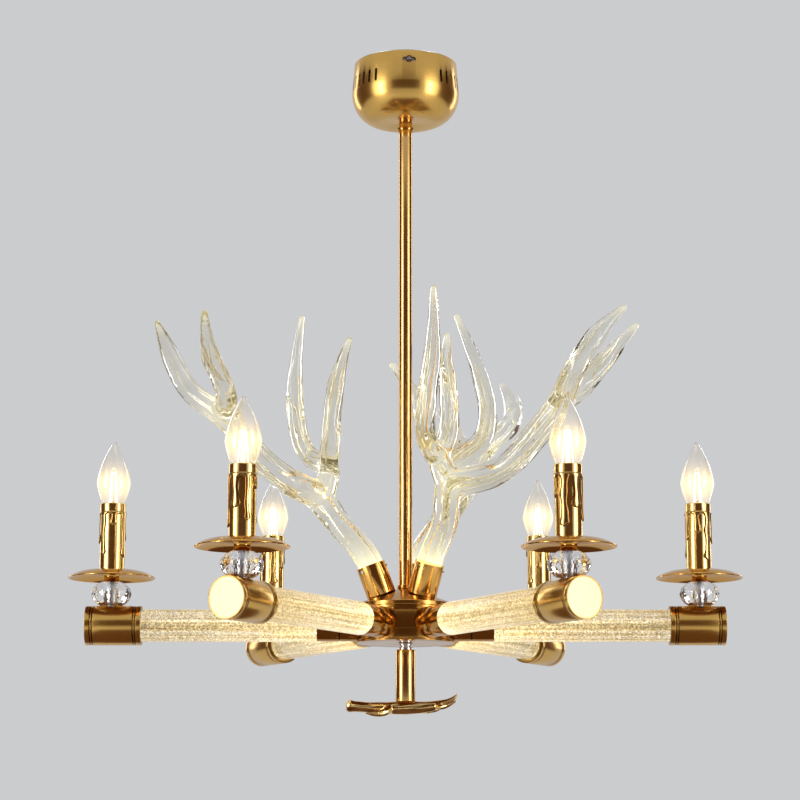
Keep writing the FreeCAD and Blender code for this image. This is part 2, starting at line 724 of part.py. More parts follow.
def end_cap():
    """A brass can, closed towards the hub, stepped at its mouth for the lamp board and the disc."""
    cap = cylinder(CAP_RADIUS, LAMP_RADIUS - CRYSTAL_END, Vec(CRYSTAL_END, 0, ARM_Z), OUTWARD)
    steps = (
        (TIE_RADIUS, CRYSTAL_END - 1),
        (CAP_INNER_RADIUS, CRYSTAL_END + CAP_FLOOR),
        (BOARD_RADIUS, LAMP_RADIUS - BOARD_INSET),
        (LENS_RADIUS, LAMP_RADIUS - LENS_THICKNESS),
    )
    for radius, start in steps:
        cap = cap.cut(cylinder(radius, LAMP_RADIUS, Vec(start, 0, ARM_Z), OUTWARD))
    for edge, inward in ((CRYSTAL_END, 1), (LAMP_RADIUS, -1)):
        for index in range(2):
            position = edge + inward * (CAP_GROOVE_INSET + (index - 0.5) * CAP_GROOVE_PITCH)
            cap = cap.cut(ring_groove(CAP_RADIUS, position))
    return cap.cut(cylinder(TUBE_RADIUS, 2 * CAP_RADIUS, Vec(CANDLE_RADIUS, 0, ARM_Z)))


def make_arms():
    crystal_length = CRYSTAL_END - COLLAR_TUBE_END
    crystal_start = Vec(COLLAR_TUBE_END, 0, ARM_Z)
    crystal = tube(CRYSTAL_RADIUS, TIE_RADIUS + LOOSE, crystal_length, crystal_start, OUTWARD)
    nut_radius = corner_radius(TIE_NUT_FLATS)
    inner_nut_x = math.sqrt(DRUM_INNER_RADIUS**2 - nut_radius**2) - TIE_NUT_HEIGHT
    outer_nut_x = CRYSTAL_END + CAP_FLOOR
    tie_start = inner_nut_x - THREAD_TAIL
    tie_length = outer_nut_x + TIE_NUT_HEIGHT + THREAD_TAIL - tie_start
    tie = tube(TIE_RADIUS, TIE_BORE, tie_length, Vec(tie_start, 0, ARM_Z), OUTWARD)
    nuts = []
    for position in (inner_nut_x, outer_nut_x):
        nut = hexagon(TIE_NUT_FLATS, TIE_NUT_HEIGHT, Vec(position, 0, ARM_Z), OUTWARD, TIE_RADIUS)
        nuts += on_each_arm(nut)
    lens = cylinder(LENS_RADIUS, LENS_THICKNESS, Vec(LAMP_RADIUS - LENS_THICKNESS, 0, ARM_Z), OUTWARD)
    board = cylinder(BOARD_RADIUS, BOARD_THICKNESS, Vec(LAMP_RADIUS - BOARD_INSET, 0, ARM_Z), OUTWARD)
    export("arm_collars", *on_each_arm(arm_collar()))
    export("arm_led_boards", *on_each_arm(arm_board()))
    export("crystal_rods", *on_each_arm(crystal))
    export("arm_tie_tubes", *on_each_arm(tie))
    export("arm_tie_nuts", *nuts)
    export("end_caps", *on_each_arm(end_cap()))
    export("end_lenses", *on_each_arm(lens))
    export("end_led_boards", *on_each_arm(board))


# --- Candle sets -------------------------------------------------------------


def crystal_bead():
    """A faceted bead: four rings of corners, each half a step on from the last, and flat facets between."""
    rings = (
        (BEAD_END_RADIUS, 0.0, 0.0),
        (BEAD_RADIUS, (BEAD_HEIGHT - BEAD_GIRDLE) / 2, 0.5),
        (BEAD_RADIUS, (BEAD_HEIGHT + BEAD_GIRDLE) / 2, 1.0),
        (BEAD_END_RADIUS, BEAD_HEIGHT, 1.5),
    )
    step_angle = 2 * math.pi / BEAD_SIDES
    corners = []
    for radius, height, shift in rings:
        angles = [step_angle * (side + shift) for side in range(BEAD_SIDES)]
        corners.append([Vec(radius * math.cos(a), radius * math.sin(a), height) for a in angles])
    faces = [Part.Face(Part.makePolygon(ring + ring[:1])) for ring in (corners[0], corners[-1])]
    for lower, upper in zip(corners, corners[1:]):
        for side in range(BEAD_SIDES):
            after = (side + 1) % BEAD_SIDES
            rising = [lower[side], lower[after], upper[side], lower[side]]
            falling = [upper[side], lower[after], upper[after], upper[side]]
            faces += [Part.Face(Part.makePolygon(rising)), Part.Face(Part.makePolygon(falling))]
    bead = Part.Solid(Part.Shell(faces))
    if bead.Volume < 0:
        bead.reverse()
    bead.translate(Vec(CANDLE_RADIUS, 0, BEAD_Z))
    return bead.cut(cylinder(TUBE_RADIUS, BEAD_HEIGHT + 2, Vec(CANDLE_RADIUS, 0, BEAD_Z - 1)))


def bead_neck():
    """A waisted brass spacer between bead and drip pan."""
    top = NECK_Z + NECK_HEIGHT
    lower = Vec(NECK_RADIUS, 0, NECK_Z)
    waist = Vec(NECK_WAIST, 0, (NECK_Z + top) / 2)
    upper = Vec(NECK_RADIUS, 0, top)
    edges = [arc(lower, waist, upper)]
    edges += polyline(
        (
            (NECK_RADIUS, top),
            (TUBE_RADIUS, top),
            (TUBE_RADIUS, NECK_Z),
            (NECK_RADIUS, NECK_Z),
        )
    )
    return moved(spun(edges), Vec(CANDLE_RADIUS, 0, 0))


def drip_pan():
    """A saucer, level in the middle and drooping to its rim."""

    def droop(surface_z):
        plateau = Vec(PAN_PLATEAU_RADIUS, 0, surface_z)
        rim = Vec(PAN_RADIUS, 0, surface_z - PAN_DROOP)
        middle_radius = (PAN_PLATEAU_RADIUS + PAN_RADIUS) / 2
        return plateau, Vec(middle_radius, 0, surface_z - PAN_HALFWAY_DROOP), rim

    top_start, top_middle, top_rim = droop(PAN_TOP_Z)
    low_start, low_middle, low_rim = droop(PAN_UNDER_Z)
    top_centre = Vec(TUBE_RADIUS, 0, PAN_TOP_Z)
    low_centre = Vec(TUBE_RADIUS, 0, PAN_UNDER_Z)
    edges = [
        line(top_centre, top_start),
        arc(top_start, top_middle, top_rim),
        line(top_rim, low_rim),
        arc(low_rim, low_middle, low_start),
        line(low_start, low_centre),
        line(low_centre, top_centre),
    ]
    return moved(spun(edges), Vec(CANDLE_RADIUS, 0, 0))


def lamp_holder():
    """The screw holder inside the sleeve: a solid foot on the threaded tube and a socket above it."""
    base = Vec(CANDLE_RADIUS, 0, PAN_TOP_Z)
    holder = cylinder(HOLDER_RADIUS, HOLDER_TOP_Z - PAN_TOP_Z, base)
    holder = holder.cut(cylinder(TUBE_RADIUS, HOLDER_FLOOR_HEIGHT, base))
    socket_z = BULB_Z - LOOSE
    socket = cylinder(SCREW_CAP_RADIUS + THREAD_RUN, BULB_LENGTH, Vec(CANDLE_RADIUS, 0, socket_z))
    return holder.cut(socket)


def candle_sleeve():
    """A thin tube with wax drips standing proud of it, and a plain band round its top."""
    top = SLEEVE_Z + SLEEVE_HEIGHT
    band_z = top - SLEEVE_BAND_HEIGHT
    sleeve = cylinder(SLEEVE_RADIUS, SLEEVE_HEIGHT, Vec(0, 0, SLEEVE_Z))
    raised = [cylinder(SLEEVE_RADIUS + SLEEVE_BAND_STEP, SLEEVE_BAND_HEIGHT, Vec(0, 0, band_z))]
    drip_centre = SLEEVE_RADIUS + DRIP_SWELL - DRIP_RADIUS
    for index in range(DRIP_COUNT):
        wave = 0.5 + 0.5 * math.sin(DRIP_WAVE_STEP * index)
        length = DRIP_SHORT + (DRIP_LONG - DRIP_SHORT) * wave
        angle = 2 * math.pi * index / DRIP_COUNT
        foot = Vec(drip_centre * math.cos(angle), drip_centre * math.sin(angle), band_z - length)
        raised += [cylinder(DRIP_RADIUS, length, foot), Part.makeSphere(DRIP_RADIUS, foot)]
    sleeve = sleeve.fuse(raised)
    sleeve = sleeve.cut(cylinder(SLEEVE_INNER_RADIUS, SLEEVE_HEIGHT + 2, Vec(0, 0, SLEEVE_Z - 1)))
    return moved(sleeve, Vec(CANDLE_RADIUS, 0, 0))


def bulb_cap():
    """The screw cap: contact, insulating cone and threaded shell."""
    taper_z = BULB_Z + SCREW_CAP_TAPER
    cap = spun_polygon(
        (
            (0, BULB_Z),
            (CONTACT_RADIUS, BULB_Z),
            (CONTACT_RADIUS, BULB_Z + CONTACT_HEIGHT),
            (SCREW_CAP_RADIUS, taper_z),
            (SCREW_CAP_RADIUS, CAP_TOP_Z),
            (0, CAP_TOP_Z),
        )
    )
    return moved(cap, Vec(CANDLE_RADIUS, 0, 0))


def bulb_glass():
    """A candle-shaped envelope: one arc swells from the cap, one closes to the tip, with an even wall."""

    def outline(inset):
        widest_z = BULB_Z + BULB_WIDEST_HEIGHT
        tip_centre_z = BULB_Z + BULB_LENGTH - inset - BULB_TIP_RADIUS
        swell_radius = BULB_NECK_RADIUS + BULB_SWELL * (BULB_RADIUS - BULB_NECK_RADIUS)
        neck = Vec(BULB_NECK_RADIUS - inset, 0, CAP_TOP_Z)
        swell = Vec(swell_radius - inset, 0, (CAP_TOP_Z + widest_z) / 2)
        belly = Vec(BULB_RADIUS - inset, 0, widest_z)
        close = Vec(BULB_CLOSE * BULB_RADIUS - inset, 0, (widest_z + tip_centre_z) / 2)
        tip_points = []
        for degrees in BULB_TIP_ANGLES:
            angle = math.radians(degrees)
            rise = BULB_TIP_RADIUS * math.sin(angle)
            tip_points.append(Vec(BULB_TIP_RADIUS * math.cos(angle), 0, tip_centre_z + rise))
        tip = Vec(0, 0, tip_points[-1].z)
        edges = [
            arc(neck, swell, belly),
            arc(belly, close, tip_points[0]),
            arc(*tip_points),
            line(tip_points[-1], tip),
        ]
        return neck, tip, edges

    outer_neck, outer_tip, outside = outline(0)
    inner_neck, inner_tip, inside = outline(BULB_WALL)
    closing = [line(outer_tip, inner_tip), line(inner_neck, outer_neck)]
    glass = spun(Part.__sortEdges__(outside + inside + closing))
    return moved(glass, Vec(CANDLE_RADIUS, 0, 0))


def bulb_filament():
    """The glass stem on the cap and the upright glowing threads round it."""
    stem = cylinder(STEM_RADIUS, STEM_LENGTH, Vec(0, 0, CAP_TOP_Z))
    thread_z = CAP_TOP_Z + STEM_LENGTH - FILAMENT_CIRCLE
    disc_radius = FILAMENT_CIRCLE + 2 * FILAMENT_RADIUS
    filament = stem.fuse(cylinder(disc_radius, FILAMENT_RADIUS, Vec(0, 0, thread_z)))
    for index in range(FILAMENT_COUNT):
        angle = 2 * math.pi * (index + 0.5) / FILAMENT_COUNT
        foot = Vec(FILAMENT_CIRCLE * math.cos(angle), FILAMENT_CIRCLE * math.sin(angle), thread_z)
        filament = filament.fuse(cylinder(FILAMENT_RADIUS, FILAMENT_LENGTH, foot))
    return moved(filament, Vec(CANDLE_RADIUS, 0, 0))


def make_candles():
    nut_radius = corner_radius(TUBE_NUT_FLATS)
    tube_start = ARM_Z + math.sqrt(CAP_INNER_RADIUS**2 - nut_radius**2) - TUBE_NUT_HEIGHT - THREAD_TAIL
    tube_length = PAN_TOP_Z + HOLDER_FLOOR_HEIGHT - tube_start
    candle_tube = tube(TUBE_RADIUS, TUBE_BORE, tube_length, Vec(CANDLE_RADIUS, 0, tube_start))
    export("candle_tubes", *on_each_arm(candle_tube))
    export("crystal_beads", *on_each_arm(crystal_bead()))
    export("bead_necks", *on_each_arm(bead_neck()))
    export("drip_pans", *on_each_arm(drip_pan()))
    export("lamp_holders", *on_each_arm(lamp_holder()))
    pieces = {
        "candle_sleeve": candle_sleeve(),
        "bulb_cap": bulb_cap(),
        "bulb_glass": bulb_glass(),
        "bulb_filament": bulb_filament(),
    }
    for name, piece in pieces.items():
        for index, copy in enumerate(on_each_arm(piece)):
            export(f"{name}_{index + 1}", copy)


# --- Finial ------------------------------------------------------------------


def finial_neck():
    """Two bright rings with a groove between them."""
    upper, groove, lower = NECK_RING_HEIGHTS
    top = NECK_RING_Z
    waist = NECK_RING_RADIUS - NECK_RING_GROOVE
    return spun_polygon(
        (
            (STUD_RADIUS, top),
            (NECK_RING_RADIUS, top),
            (NECK_RING_RADIUS, top - upper),
            (waist, top - upper),
            (waist, top - upper - groove),
            (NECK_RING_RADIUS, top - upper - groove),
            (NECK_RING_RADIUS, top - upper - groove - lower),
            (STUD_RADIUS, top - upper - groove - lower),
        )
    )


def finial_antler():
    """A small cast antler lying level under the stem, with three tines."""
    level = FINIAL_Z - FINIAL_DEPTH
    limbs = []
    for stations in (FINIAL_BEAM,) + FINIAL_TINES:
        limbs.append(limb([(x, y, level + z, radius) for x, y, z, radius in stations]))
    stem = cylinder(FINIAL_STEM_RADIUS, FINIAL_STEM_LENGTH, Vec(0, 0, FINIAL_Z))
    stud = cylinder(STUD_RADIUS, STUD_SINK, Vec(0, 0, FINIAL_Z - STUD_SINK))
    return limbs[0].fuse(limbs[1:]).cut([stem, stud])


def make_finial():
    export("finial_neck", finial_neck())
    stem = tube(FINIAL_STEM_RADIUS, STUD_RADIUS, FINIAL_STEM_LENGTH, Vec(0, 0, FINIAL_Z))
    export("finial_stem", stem)
    stud_top = BASE_PLATE_TOP_Z + STUD_BITE
    stud_foot = FINIAL_Z - STUD_SINK
    export("finial_stud", cylinder(STUD_RADIUS, stud_top - stud_foot, Vec(0, 0, stud_foot)))
    export("finial_antler", finial_antler())


os.makedirs("parts", exist_ok=True)
make_ceiling_group()
make_down_rod()
make_hub()
make_antlers()
make_arms()
make_candles()
make_finial()
export("tube_nuts", *tube_nuts())
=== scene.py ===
"""Looks of the antler chandelier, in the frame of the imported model: +Z is up, -Y is the front, and the
lamp hangs from the origin. Lengths are in millimetres until mm() or mesh_from() takes them to metres; only
FLOOR_Z, FADE, the lights, the cards and the camera are given in metres."""

import cmath
import math

import bpy
import numpy as np
from mathutils import Matrix, Vector


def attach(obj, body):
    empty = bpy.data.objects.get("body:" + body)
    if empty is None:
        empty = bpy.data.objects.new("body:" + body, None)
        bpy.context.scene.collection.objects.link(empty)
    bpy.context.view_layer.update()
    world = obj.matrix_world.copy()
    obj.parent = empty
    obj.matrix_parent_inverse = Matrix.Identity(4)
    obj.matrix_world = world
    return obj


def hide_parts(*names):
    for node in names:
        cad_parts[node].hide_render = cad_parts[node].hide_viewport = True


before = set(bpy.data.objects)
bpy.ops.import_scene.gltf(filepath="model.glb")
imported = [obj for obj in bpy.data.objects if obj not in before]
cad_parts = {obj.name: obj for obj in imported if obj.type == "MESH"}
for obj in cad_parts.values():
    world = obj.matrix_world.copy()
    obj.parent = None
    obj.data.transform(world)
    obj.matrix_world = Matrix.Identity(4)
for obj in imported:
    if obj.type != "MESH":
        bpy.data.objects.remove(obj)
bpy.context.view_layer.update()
scene = bpy.context.scene

# --- Sizes, most of which the lamp's solids have too ---

ARMS = 6
ANTLERS = 3
CANOPY_TURN = -86.0
CANOPY_WALL = 1.2
CANOPY_RIM = (54.0, -1.0)
CANOPY_BELLY = (56.5, -33.0)
CANOPY_FLOOR = (29.0, -65.0)
VENTS = 6
VENT_PITCH = 9.0
ROD_RADIUS = 7.0
RING_RADIUS = 8.5
RING_HEIGHT = 3.5
UPPER_RING_Z = -73.0
ARM_Z = -595.0
LAMP_RADIUS = 325.0
CANDLE_RADIUS = 300.0
CRYSTAL_START = 90.0
CRYSTAL_END = 268.5
CRYSTAL_RADIUS = 16.5
CRYSTAL_BORE = 4.3
BUBBLE_ROWS = 64
CAP_RADIUS = 20.0
LENS_RADIUS = 18.7
LENS_THICKNESS = 4
COLLAR_RADIUS = 16.0
COLLAR_START = 44.0
COVER_RADIUS = 50.0
DRUM_RADIUS = 47.0
FLANGE_RADIUS = 49.0
PLATE_RADIUS = 49.5
PLATE_THICKNESS = 1.7
COVER_TOP_Z = -557.4
COVER_RIM_Z = -573.4
DRUM_TOP_Z = -577.7
DRUM_LOW_Z = -611.3
BEAD_Z = -575.0
BEAD_RADIUS = 20.5
BEAD_HEIGHT = 24.0
NECK_Z = -551.0
NECK_HEIGHT = 10.1
PAN_TOP_Z = -539.5
PAN_FLAT = 27.0
PAN_THICKNESS = 1.4
SLEEVE_Z = -539.2
SLEEVE_TOP_Z = -470.3
SLEEVE_RADIUS = 12.9
SLEEVE_BORE = 12.0
SLEEVE_BAND = 9.0
DRIPS = 7
CAP_TOP_Z = -481.4
BULB_Z = -503.4
BULB_LENGTH = 98.0
BULB_WIDEST = 54.4
BULB_RADIUS = 17.5
BULB_NECK_RADIUS = 6.6
BULB_TIP_RADIUS = 2.2
BULB_WALL = 0.8
THREAD_PITCH = 2.82
STEM_TOP_Z = -619.7
STEM_RADIUS = 10.0
FINIAL_Z = -672.0
SOCKET_TILT = 20.85
SOCKET_AZIMUTH = 72.5
SOCKET_FOOT = 25.0
SOCKET_HEIGHT = 32.0
SOCKET_RADIUS = 15.0
ANTLER_TURNS = (-27.2, 1.3, 12.1)
BEAM = (
    (14.4, -13.8, 57.1, 13.2), (19.3, -25.4, 82.1, 15.0), (43.9, -4.0, 102.7, 14.0),
    (76.5, 8.5, 148.7, 13.2), (94.9, 13.8, 193.5, 12.6), (112.3, -3.9, 226.6, 11.2),
    (121.3, 4.5, 264.7, 9.8), (129.0, 31.2, 299.5, 3.0),
)
BROW_TINE = (
    (19.3, -25.4, 82.1, 13.5), (-0.7, -30.5, 108.5, 11.5), (4.0, -66.2, 130.3, 10.4),
    (-4.7, -73.5, 195.8, 9.2), (-38.2, -56.1, 272.2, 3.0),
)
BACK_TINE = (
    (-0.7, -30.5, 108.5, 9.8), (-7.5, -13.7, 131.0, 10.2), (-33.5, -4.1, 188.1, 8.6),
    (-58.1, 14.3, 225.5, 2.8),
)
FORK_TINE = (
    (94.9, 13.8, 193.5, 10.0), (91.1, 45.9, 205.3, 10.6), (97.8, 71.4, 242.1, 9.4),
    (98.2, 112.4, 282.0, 3.0),
)
FINIAL_BEAM = (
    (-60.0, 0.0, -1.0, 4.6), (-57.0, 0.2, -1.2, 6.6), (-52.0, 0.8, -1.6, 5.6),
    (-38.0, 2.0, -2.5, 5.4), (-20.0, 1.0, -3.0, 6.0), (0.0, 0.0, -3.2, 7.2),
    (22.0, -1.0, -2.0, 5.6), (38.0, -2.0, 1.0, 4.2), (47.0, -3.0, 5.0, 2.6), (52.0, -4.0, 9.5, 1.2),
)
FINIAL_TINES = (
    ((-14.0, 0.0, -3.0, 4.6), (-21.0, -8.0, -8.0, 3.8), (-31.0, -13.0, -10.0, 2.8),
     (-40.0, -15.0, -9.0, 1.0)),
    ((12.0, 0.0, -3.0, 4.4), (20.0, 8.0, -5.0, 3.4), (31.0, 13.0, -4.0, 2.6), (42.0, 15.0, 0.0, 1.0)),
    ((30.0, -1.0, -1.0, 3.6), (36.0, -9.0, -3.0, 2.8), (44.0, -14.0, -1.0, 1.9), (51.0, -16.0, 3.0, 0.9)),
)


def mm(*values):
    return Vector([value / 1000 for value in values])


def polar(radius, angle, height):
    return radius * math.cos(angle), radius * math.sin(angle), height


def scaled(tone, share):
    return [min(1.0, value * share) for value in tone]


# --- Shader helpers ---


class Shader:
    """A material under construction: short calls that add nodes and links."""

    def __init__(self, name):
        self.material = bpy.data.materials.new(name)
        self.material.use_nodes = True
        self.tree = self.material.node_tree
        self.principled = self.tree.nodes["Principled BSDF"]
        self.output = self.tree.nodes["Material Output"]

    def add(self, kind, *inputs, **settings):
        """A new node; each input is a socket to link, a plain value, or None to leave it alone."""
        node = self.tree.nodes.new("ShaderNode" + kind)
        for key, value in settings.items():
            setattr(node, key, value)
        for socket, value in zip(node.inputs, inputs):
            self.feed(socket, value)
        return node

    def feed(self, socket, value):
        if isinstance(value, bpy.types.NodeSocket):
            self.tree.links.new(value, socket)
        elif value is not None:
            socket.default_value = value

    def fill(self, node, **inputs):
        """Feeds a node's inputs by name."""
        for key, value in inputs.items():
            self.feed(node.inputs[key.replace("_", " ")], value)
        return node.outputs[0]

    def look(self, **inputs):
        self.fill(self.principled, **inputs)

    def local(self, x=1, y=1, z=1):
        """Coordinates of the piece itself, stretched along each axis."""
        place = self.add("TexCoord").outputs["Object"]
        return self.add("Mapping", place, None, None, (x, y, z)).outputs[0]

    def noise(self, coordinates, size, detail=3.0, rough=0.55):
        node = self.add("TexNoise")
        return self.fill(node, Vector=coordinates, Scale=size, Detail=detail, Roughness=rough)

    def ramp(self, factor, *stops):
        """Colours along a factor; each stop is (position, colour or grey)."""
        node = self.add("ValToRGB", factor)
        elements = node.color_ramp.elements
        while len(elements) < len(stops):
            elements.new(0.5)
        for element, (position, colour) in zip(elements, stops):
            element.position = position
            element.color = (colour,) * 3 + (1,) if isinstance(colour, float) else tuple(colour) + (1,)
        return node.outputs[0]

    def maths(self, operation, first, second=None, third=None):
        return self.add("Math", first, second, third, operation=operation).outputs[0]

    def attribute(self, name):
        return self.add("Attribute", attribute_name=name, attribute_type="GEOMETRY").outputs["Fac"]

    def bump(self, height, strength, depth):
        return self.fill(self.add("Bump"), Height=height, Strength=strength, Distance=depth)


def brass(name, grain, tone, roughness, streak=0.05, bump=0.02):
    """Satin brass: streaks along or round the piece's Z, slow tone changes, painted shade in its grooves.
    """
    shader = Shader(name)
    stretch = (1100, 1100, 5) if grain == "drawn" else (4, 4, 2600)
    streaks = shader.noise(shader.local(*stretch), 1.0, 4.0, 0.6)
    patches = shader.noise(shader.local(), 38.0, 3.0)
    dark = [tone[0] * 0.88, tone[1] * 0.84, tone[2] * 0.76]
    patch_share = shader.maths("MULTIPLY", patches, 0.45)
    mixed = shader.maths("ADD", shader.maths("MULTIPLY", streaks, 0.55), patch_share)
    # Painted shade: a near-black tone that the piece's shade attribute lays into its groove bottoms.
    groove_shade_colour = (tone[0] * 0.13, tone[1] * 0.10, tone[2] * 0.08, 1.0)
    clean = shader.ramp(mixed, (0.30, dark), (0.72, scaled(tone, 1.06)))
    colour = shader.add("MixRGB", shader.attribute("shade"), clean, groove_shade_colour).outputs[0]
    shader.look(Base_Color=colour, Metallic=1.0)
    spread = shader.add("MapRange", streaks, 0.25, 0.75, roughness - streak / 2, roughness + streak)
    shader.look(Roughness=spread.outputs[0], Normal=shader.bump(streaks, bump, 0.0004))
    return shader.material


def brass_with_painted_shade(name, tone, roughness, grain=260.0, bump=0.10):
    """Polished brass with a hand-finished surface; painted shade from the piece's shade attribute darkens
    its hollows.
    """
    shader = Shader(name)
    hand = shader.noise(shader.local(), grain, 4.0, 0.6)
    shade = shader.attribute("shade")
    deep = [tone[0] * 0.22, tone[1] * 0.13, tone[2] * 0.06]
    shader.look(Base_Color=shader.ramp(shade, (0.0, tone), (1.0, deep)), Metallic=1.0)
    spread = shader.add("MapRange", hand, 0.3, 0.7, roughness * 0.7, roughness * 1.5)
    shader.look(Roughness=spread.outputs[0], Normal=shader.bump(hand, bump, 0.0006))
    return shader.material


def plated(name, tone, roughness):
    """Bright plating with faint turning marks."""
    shader = Shader(name)
    marks = shader.noise(shader.local(40, 40, 1500), 1.0)
    shader.look(Base_Color=shader.ramp(marks, (0.3, scaled(tone, 0.9)), (0.7, tone)), Metallic=1.0)
    spread = shader.add("MapRange", marks, 0.3, 0.7, roughness, roughness * 1.8)
    shader.look(Roughness=spread.outputs[0], Normal=shader.bump(marks, 0.03, 0.0002))
    return shader.material


def moulded(name, tone, roughness):
    """Moulded plastic with a fine spark-eroded grain."""
    shader = Shader(name)
    grain = shader.noise(shader.local(), 1400.0, 2.0)
    shader.look(Base_Color=shader.ramp(grain, (0.2, scaled(tone, 0.92)), (0.8, tone)))
    shader.look(Roughness=roughness, Normal=shader.bump(grain, 0.12, 0.0002))
    return shader.material


def glowing(name, tone, strength, glow_noise=30.0, roughness=0.35):
    """A lit surface: its own light, slightly uneven, over a pale base."""
    shader = Shader(name)
    patch = shader.noise(shader.local(), glow_noise, 2.0)
    colour = shader.ramp(patch, (0.25, scaled(tone, 0.94)), (0.75, tone))
    shader.look(Base_Color=colour, Roughness=roughness, Emission_Color=colour, Emission_Strength=strength)
    return shader.material


def clear(name, tint, ior, roughness, glow_tone, glow_strength, wave=0.0, wave_size=60.0):
    """Clear plastic or glass; the piece's glow attribute adds the light that its lamps feed into it."""
    shader = Shader(name)
    flow = shader.noise(shader.local(1, 1, 0.35), wave_size, 3.0)
    glow = shader.attribute("glow")
    warm = shader.ramp(glow, (0.0, scaled(glow_tone, 0.9)), (1.0, scaled(glow_tone, 1.1)))
    colour = shader.ramp(flow, (0.3, scaled(tint, 0.985)), (0.7, tint))
    shader.look(Base_Color=colour, Roughness=roughness)
    shader.look(Transmission_Weight=1.0, IOR=ior, Emission_Color=warm)
    shader.look(Emission_Strength=shader.maths("MULTIPLY", glow, glow_strength))
    if wave:
        shader.look(Normal=shader.bump(flow, wave, 0.004))
    return shader.material


BRASS_TONE = (0.76, 0.47, 0.13)
DEEP_TONE = (0.58, 0.31, 0.075)
WARM = (1.0, 0.86, 0.50)

SPUN_BRASS = brass("spun_brass", "spun", BRASS_TONE, 0.21)
DRAWN_BRASS = brass("drawn_brass", "drawn", (0.78, 0.48, 0.17), 0.13)
HUB_BRASS = brass("hub_brass", "spun", DEEP_TONE, 0.15)
SOCKET_BRASS = brass("socket_brass", "drawn", (0.78, 0.43, 0.11), 0.12)
PAN_BRASS = brass("pan_brass", "spun", (0.66, 0.36, 0.085), 0.10)
SLEEVE_BRASS = brass_with_painted_shade("sleeve_brass", (0.90, 0.62, 0.22), 0.11)
CAST_BRASS = brass_with_painted_shade("cast_brass", (0.92, 0.66, 0.28), 0.13, 420.0, 0.08)
CHROME = plated("bright_plating", (0.88, 0.88, 0.90), 0.06)
ZINC = plated("zinc_plating", (0.66, 0.67, 0.68), 0.26)
CAP_METAL = plated("nickel_cap", (0.74, 0.72, 0.68), 0.20)
WHITE_PLASTIC = moulded("white_plastic", (0.86, 0.86, 0.84), 0.45)
DARK_PLASTIC = moulded("dark_plastic", (0.03, 0.03, 0.032), 0.40)
LAMP_BOARD = glowing("lamp_board", (1.0, 0.86, 0.52), 1.4)
OPAL = glowing("opal_disc", (0.82, 0.73, 0.42), 0.42, 45.0, 0.30)
THREAD_GLOW = glowing("glowing_thread", (1.0, 0.80, 0.50), 5.0)
ANTLER_CLEAR = clear("antler_acrylic", (0.90, 0.89, 0.83), 1.52, 0.02, (1.0, 0.83, 0.34), 0.36, 0.16, 46.0)
BEAD_CLEAR = clear("bead_crystal", (0.99, 0.99, 1.0), 1.56, 0.0, WARM, 0.0)
BULB_CLEAR = clear("bulb_glass_clear", (1.0, 0.985, 0.95), 1.45, 0.0, (1.0, 0.66, 0.22), 0.20, 0.04, 90.0)


def seeded_material():
    """Clear rod full of seeds: amber pips, grains with painted glints, darker rows, and a glow from the
    collar.
    """
    shader = Shader("rod_acrylic")
    cells = shader.add("TexVoronoi", shader.local(560, 560, 470))
    cells.inputs["Scale"].default_value = 1.0
    pip = cells.outputs["Distance"]
    tint = shader.ramp(pip, (0.16, (0.40, 0.25, 0.08)), (0.40, (1.0, 0.97, 0.90)))
    rows = shader.ramp(shader.noise(shader.local(420, 420, 5), 1.0, 2.0), (0.44, 0.0), (0.52, 1.0))
    lines = shader.add("MixRGB", rows, (0.82, 0.73, 0.52, 1.0), (1.0, 1.0, 1.0, 1.0)).outputs[0]
    lined = shader.add("MixRGB", 1.0, tint, lines, blend_type="MULTIPLY").outputs[0]
    shader.look(Base_Color=lined, Roughness=0.05, Transmission_Weight=1.0, IOR=1.46)
    shader.look(Normal=shader.bump(pip, 0.35, 0.0006))
    # Painted glints: grains far from a cell's seed give off light of their own, even away from the collar.
    spark = shader.maths("GREATER_THAN", pip, 0.56)
    row_glow = shader.maths("MULTIPLY_ADD", rows, 0.15, 0.05)
    glow = shader.maths("MULTIPLY", shader.attribute("glow"), row_glow)
    shader.look(Emission_Color=(1.0, 0.82, 0.44, 1.0))
    spark_glow = shader.maths("ADD", glow, 0.12)
    shader.look(Emission_Strength=shader.maths("MULTIPLY_ADD", spark, spark_glow, glow))
    return shader.material


ROD_CLEAR = seeded_material()


def bubble_material():
    """Fine bubbles: bright little mirrors, lit warm where the collar's lamps reach them."""
    shader = Shader("rod_bubbles")
    tone = shader.noise(shader.local(), 700.0, 1.0)
    glow = shader.attribute("glow")
    stops = (0.40, (0.16, 0.10, 0.035)), (0.52, (0.86, 0.64, 0.26)), (0.64, (1.0, 0.96, 0.84))
    shader.look(Base_Color=shader.ramp(tone, *stops), Metallic=0.9)
    shader.look(Roughness=0.12, Emission_Color=(1.0, 0.78, 0.36, 1.0))
    shader.look(Emission_Strength=shader.maths("MULTIPLY", glow, 0.36))
    return shader.material


BUBBLES = bubble_material()

# --- Mesh helpers ---


def mesh_from(name, points, faces, sharp=32.0):
    """A smooth-shaded mesh from points in millimetres; edges above sharp degrees stay crisp."""
    mesh = bpy.data.meshes.new(name)
    mesh.from_pydata([Vector(point) / 1000 for point in points], [], faces)
    mesh.validate()
    mesh.shade_smooth()
    if sharp:
        mesh.set_sharp_from_angle(angle=math.radians(sharp))
    return mesh


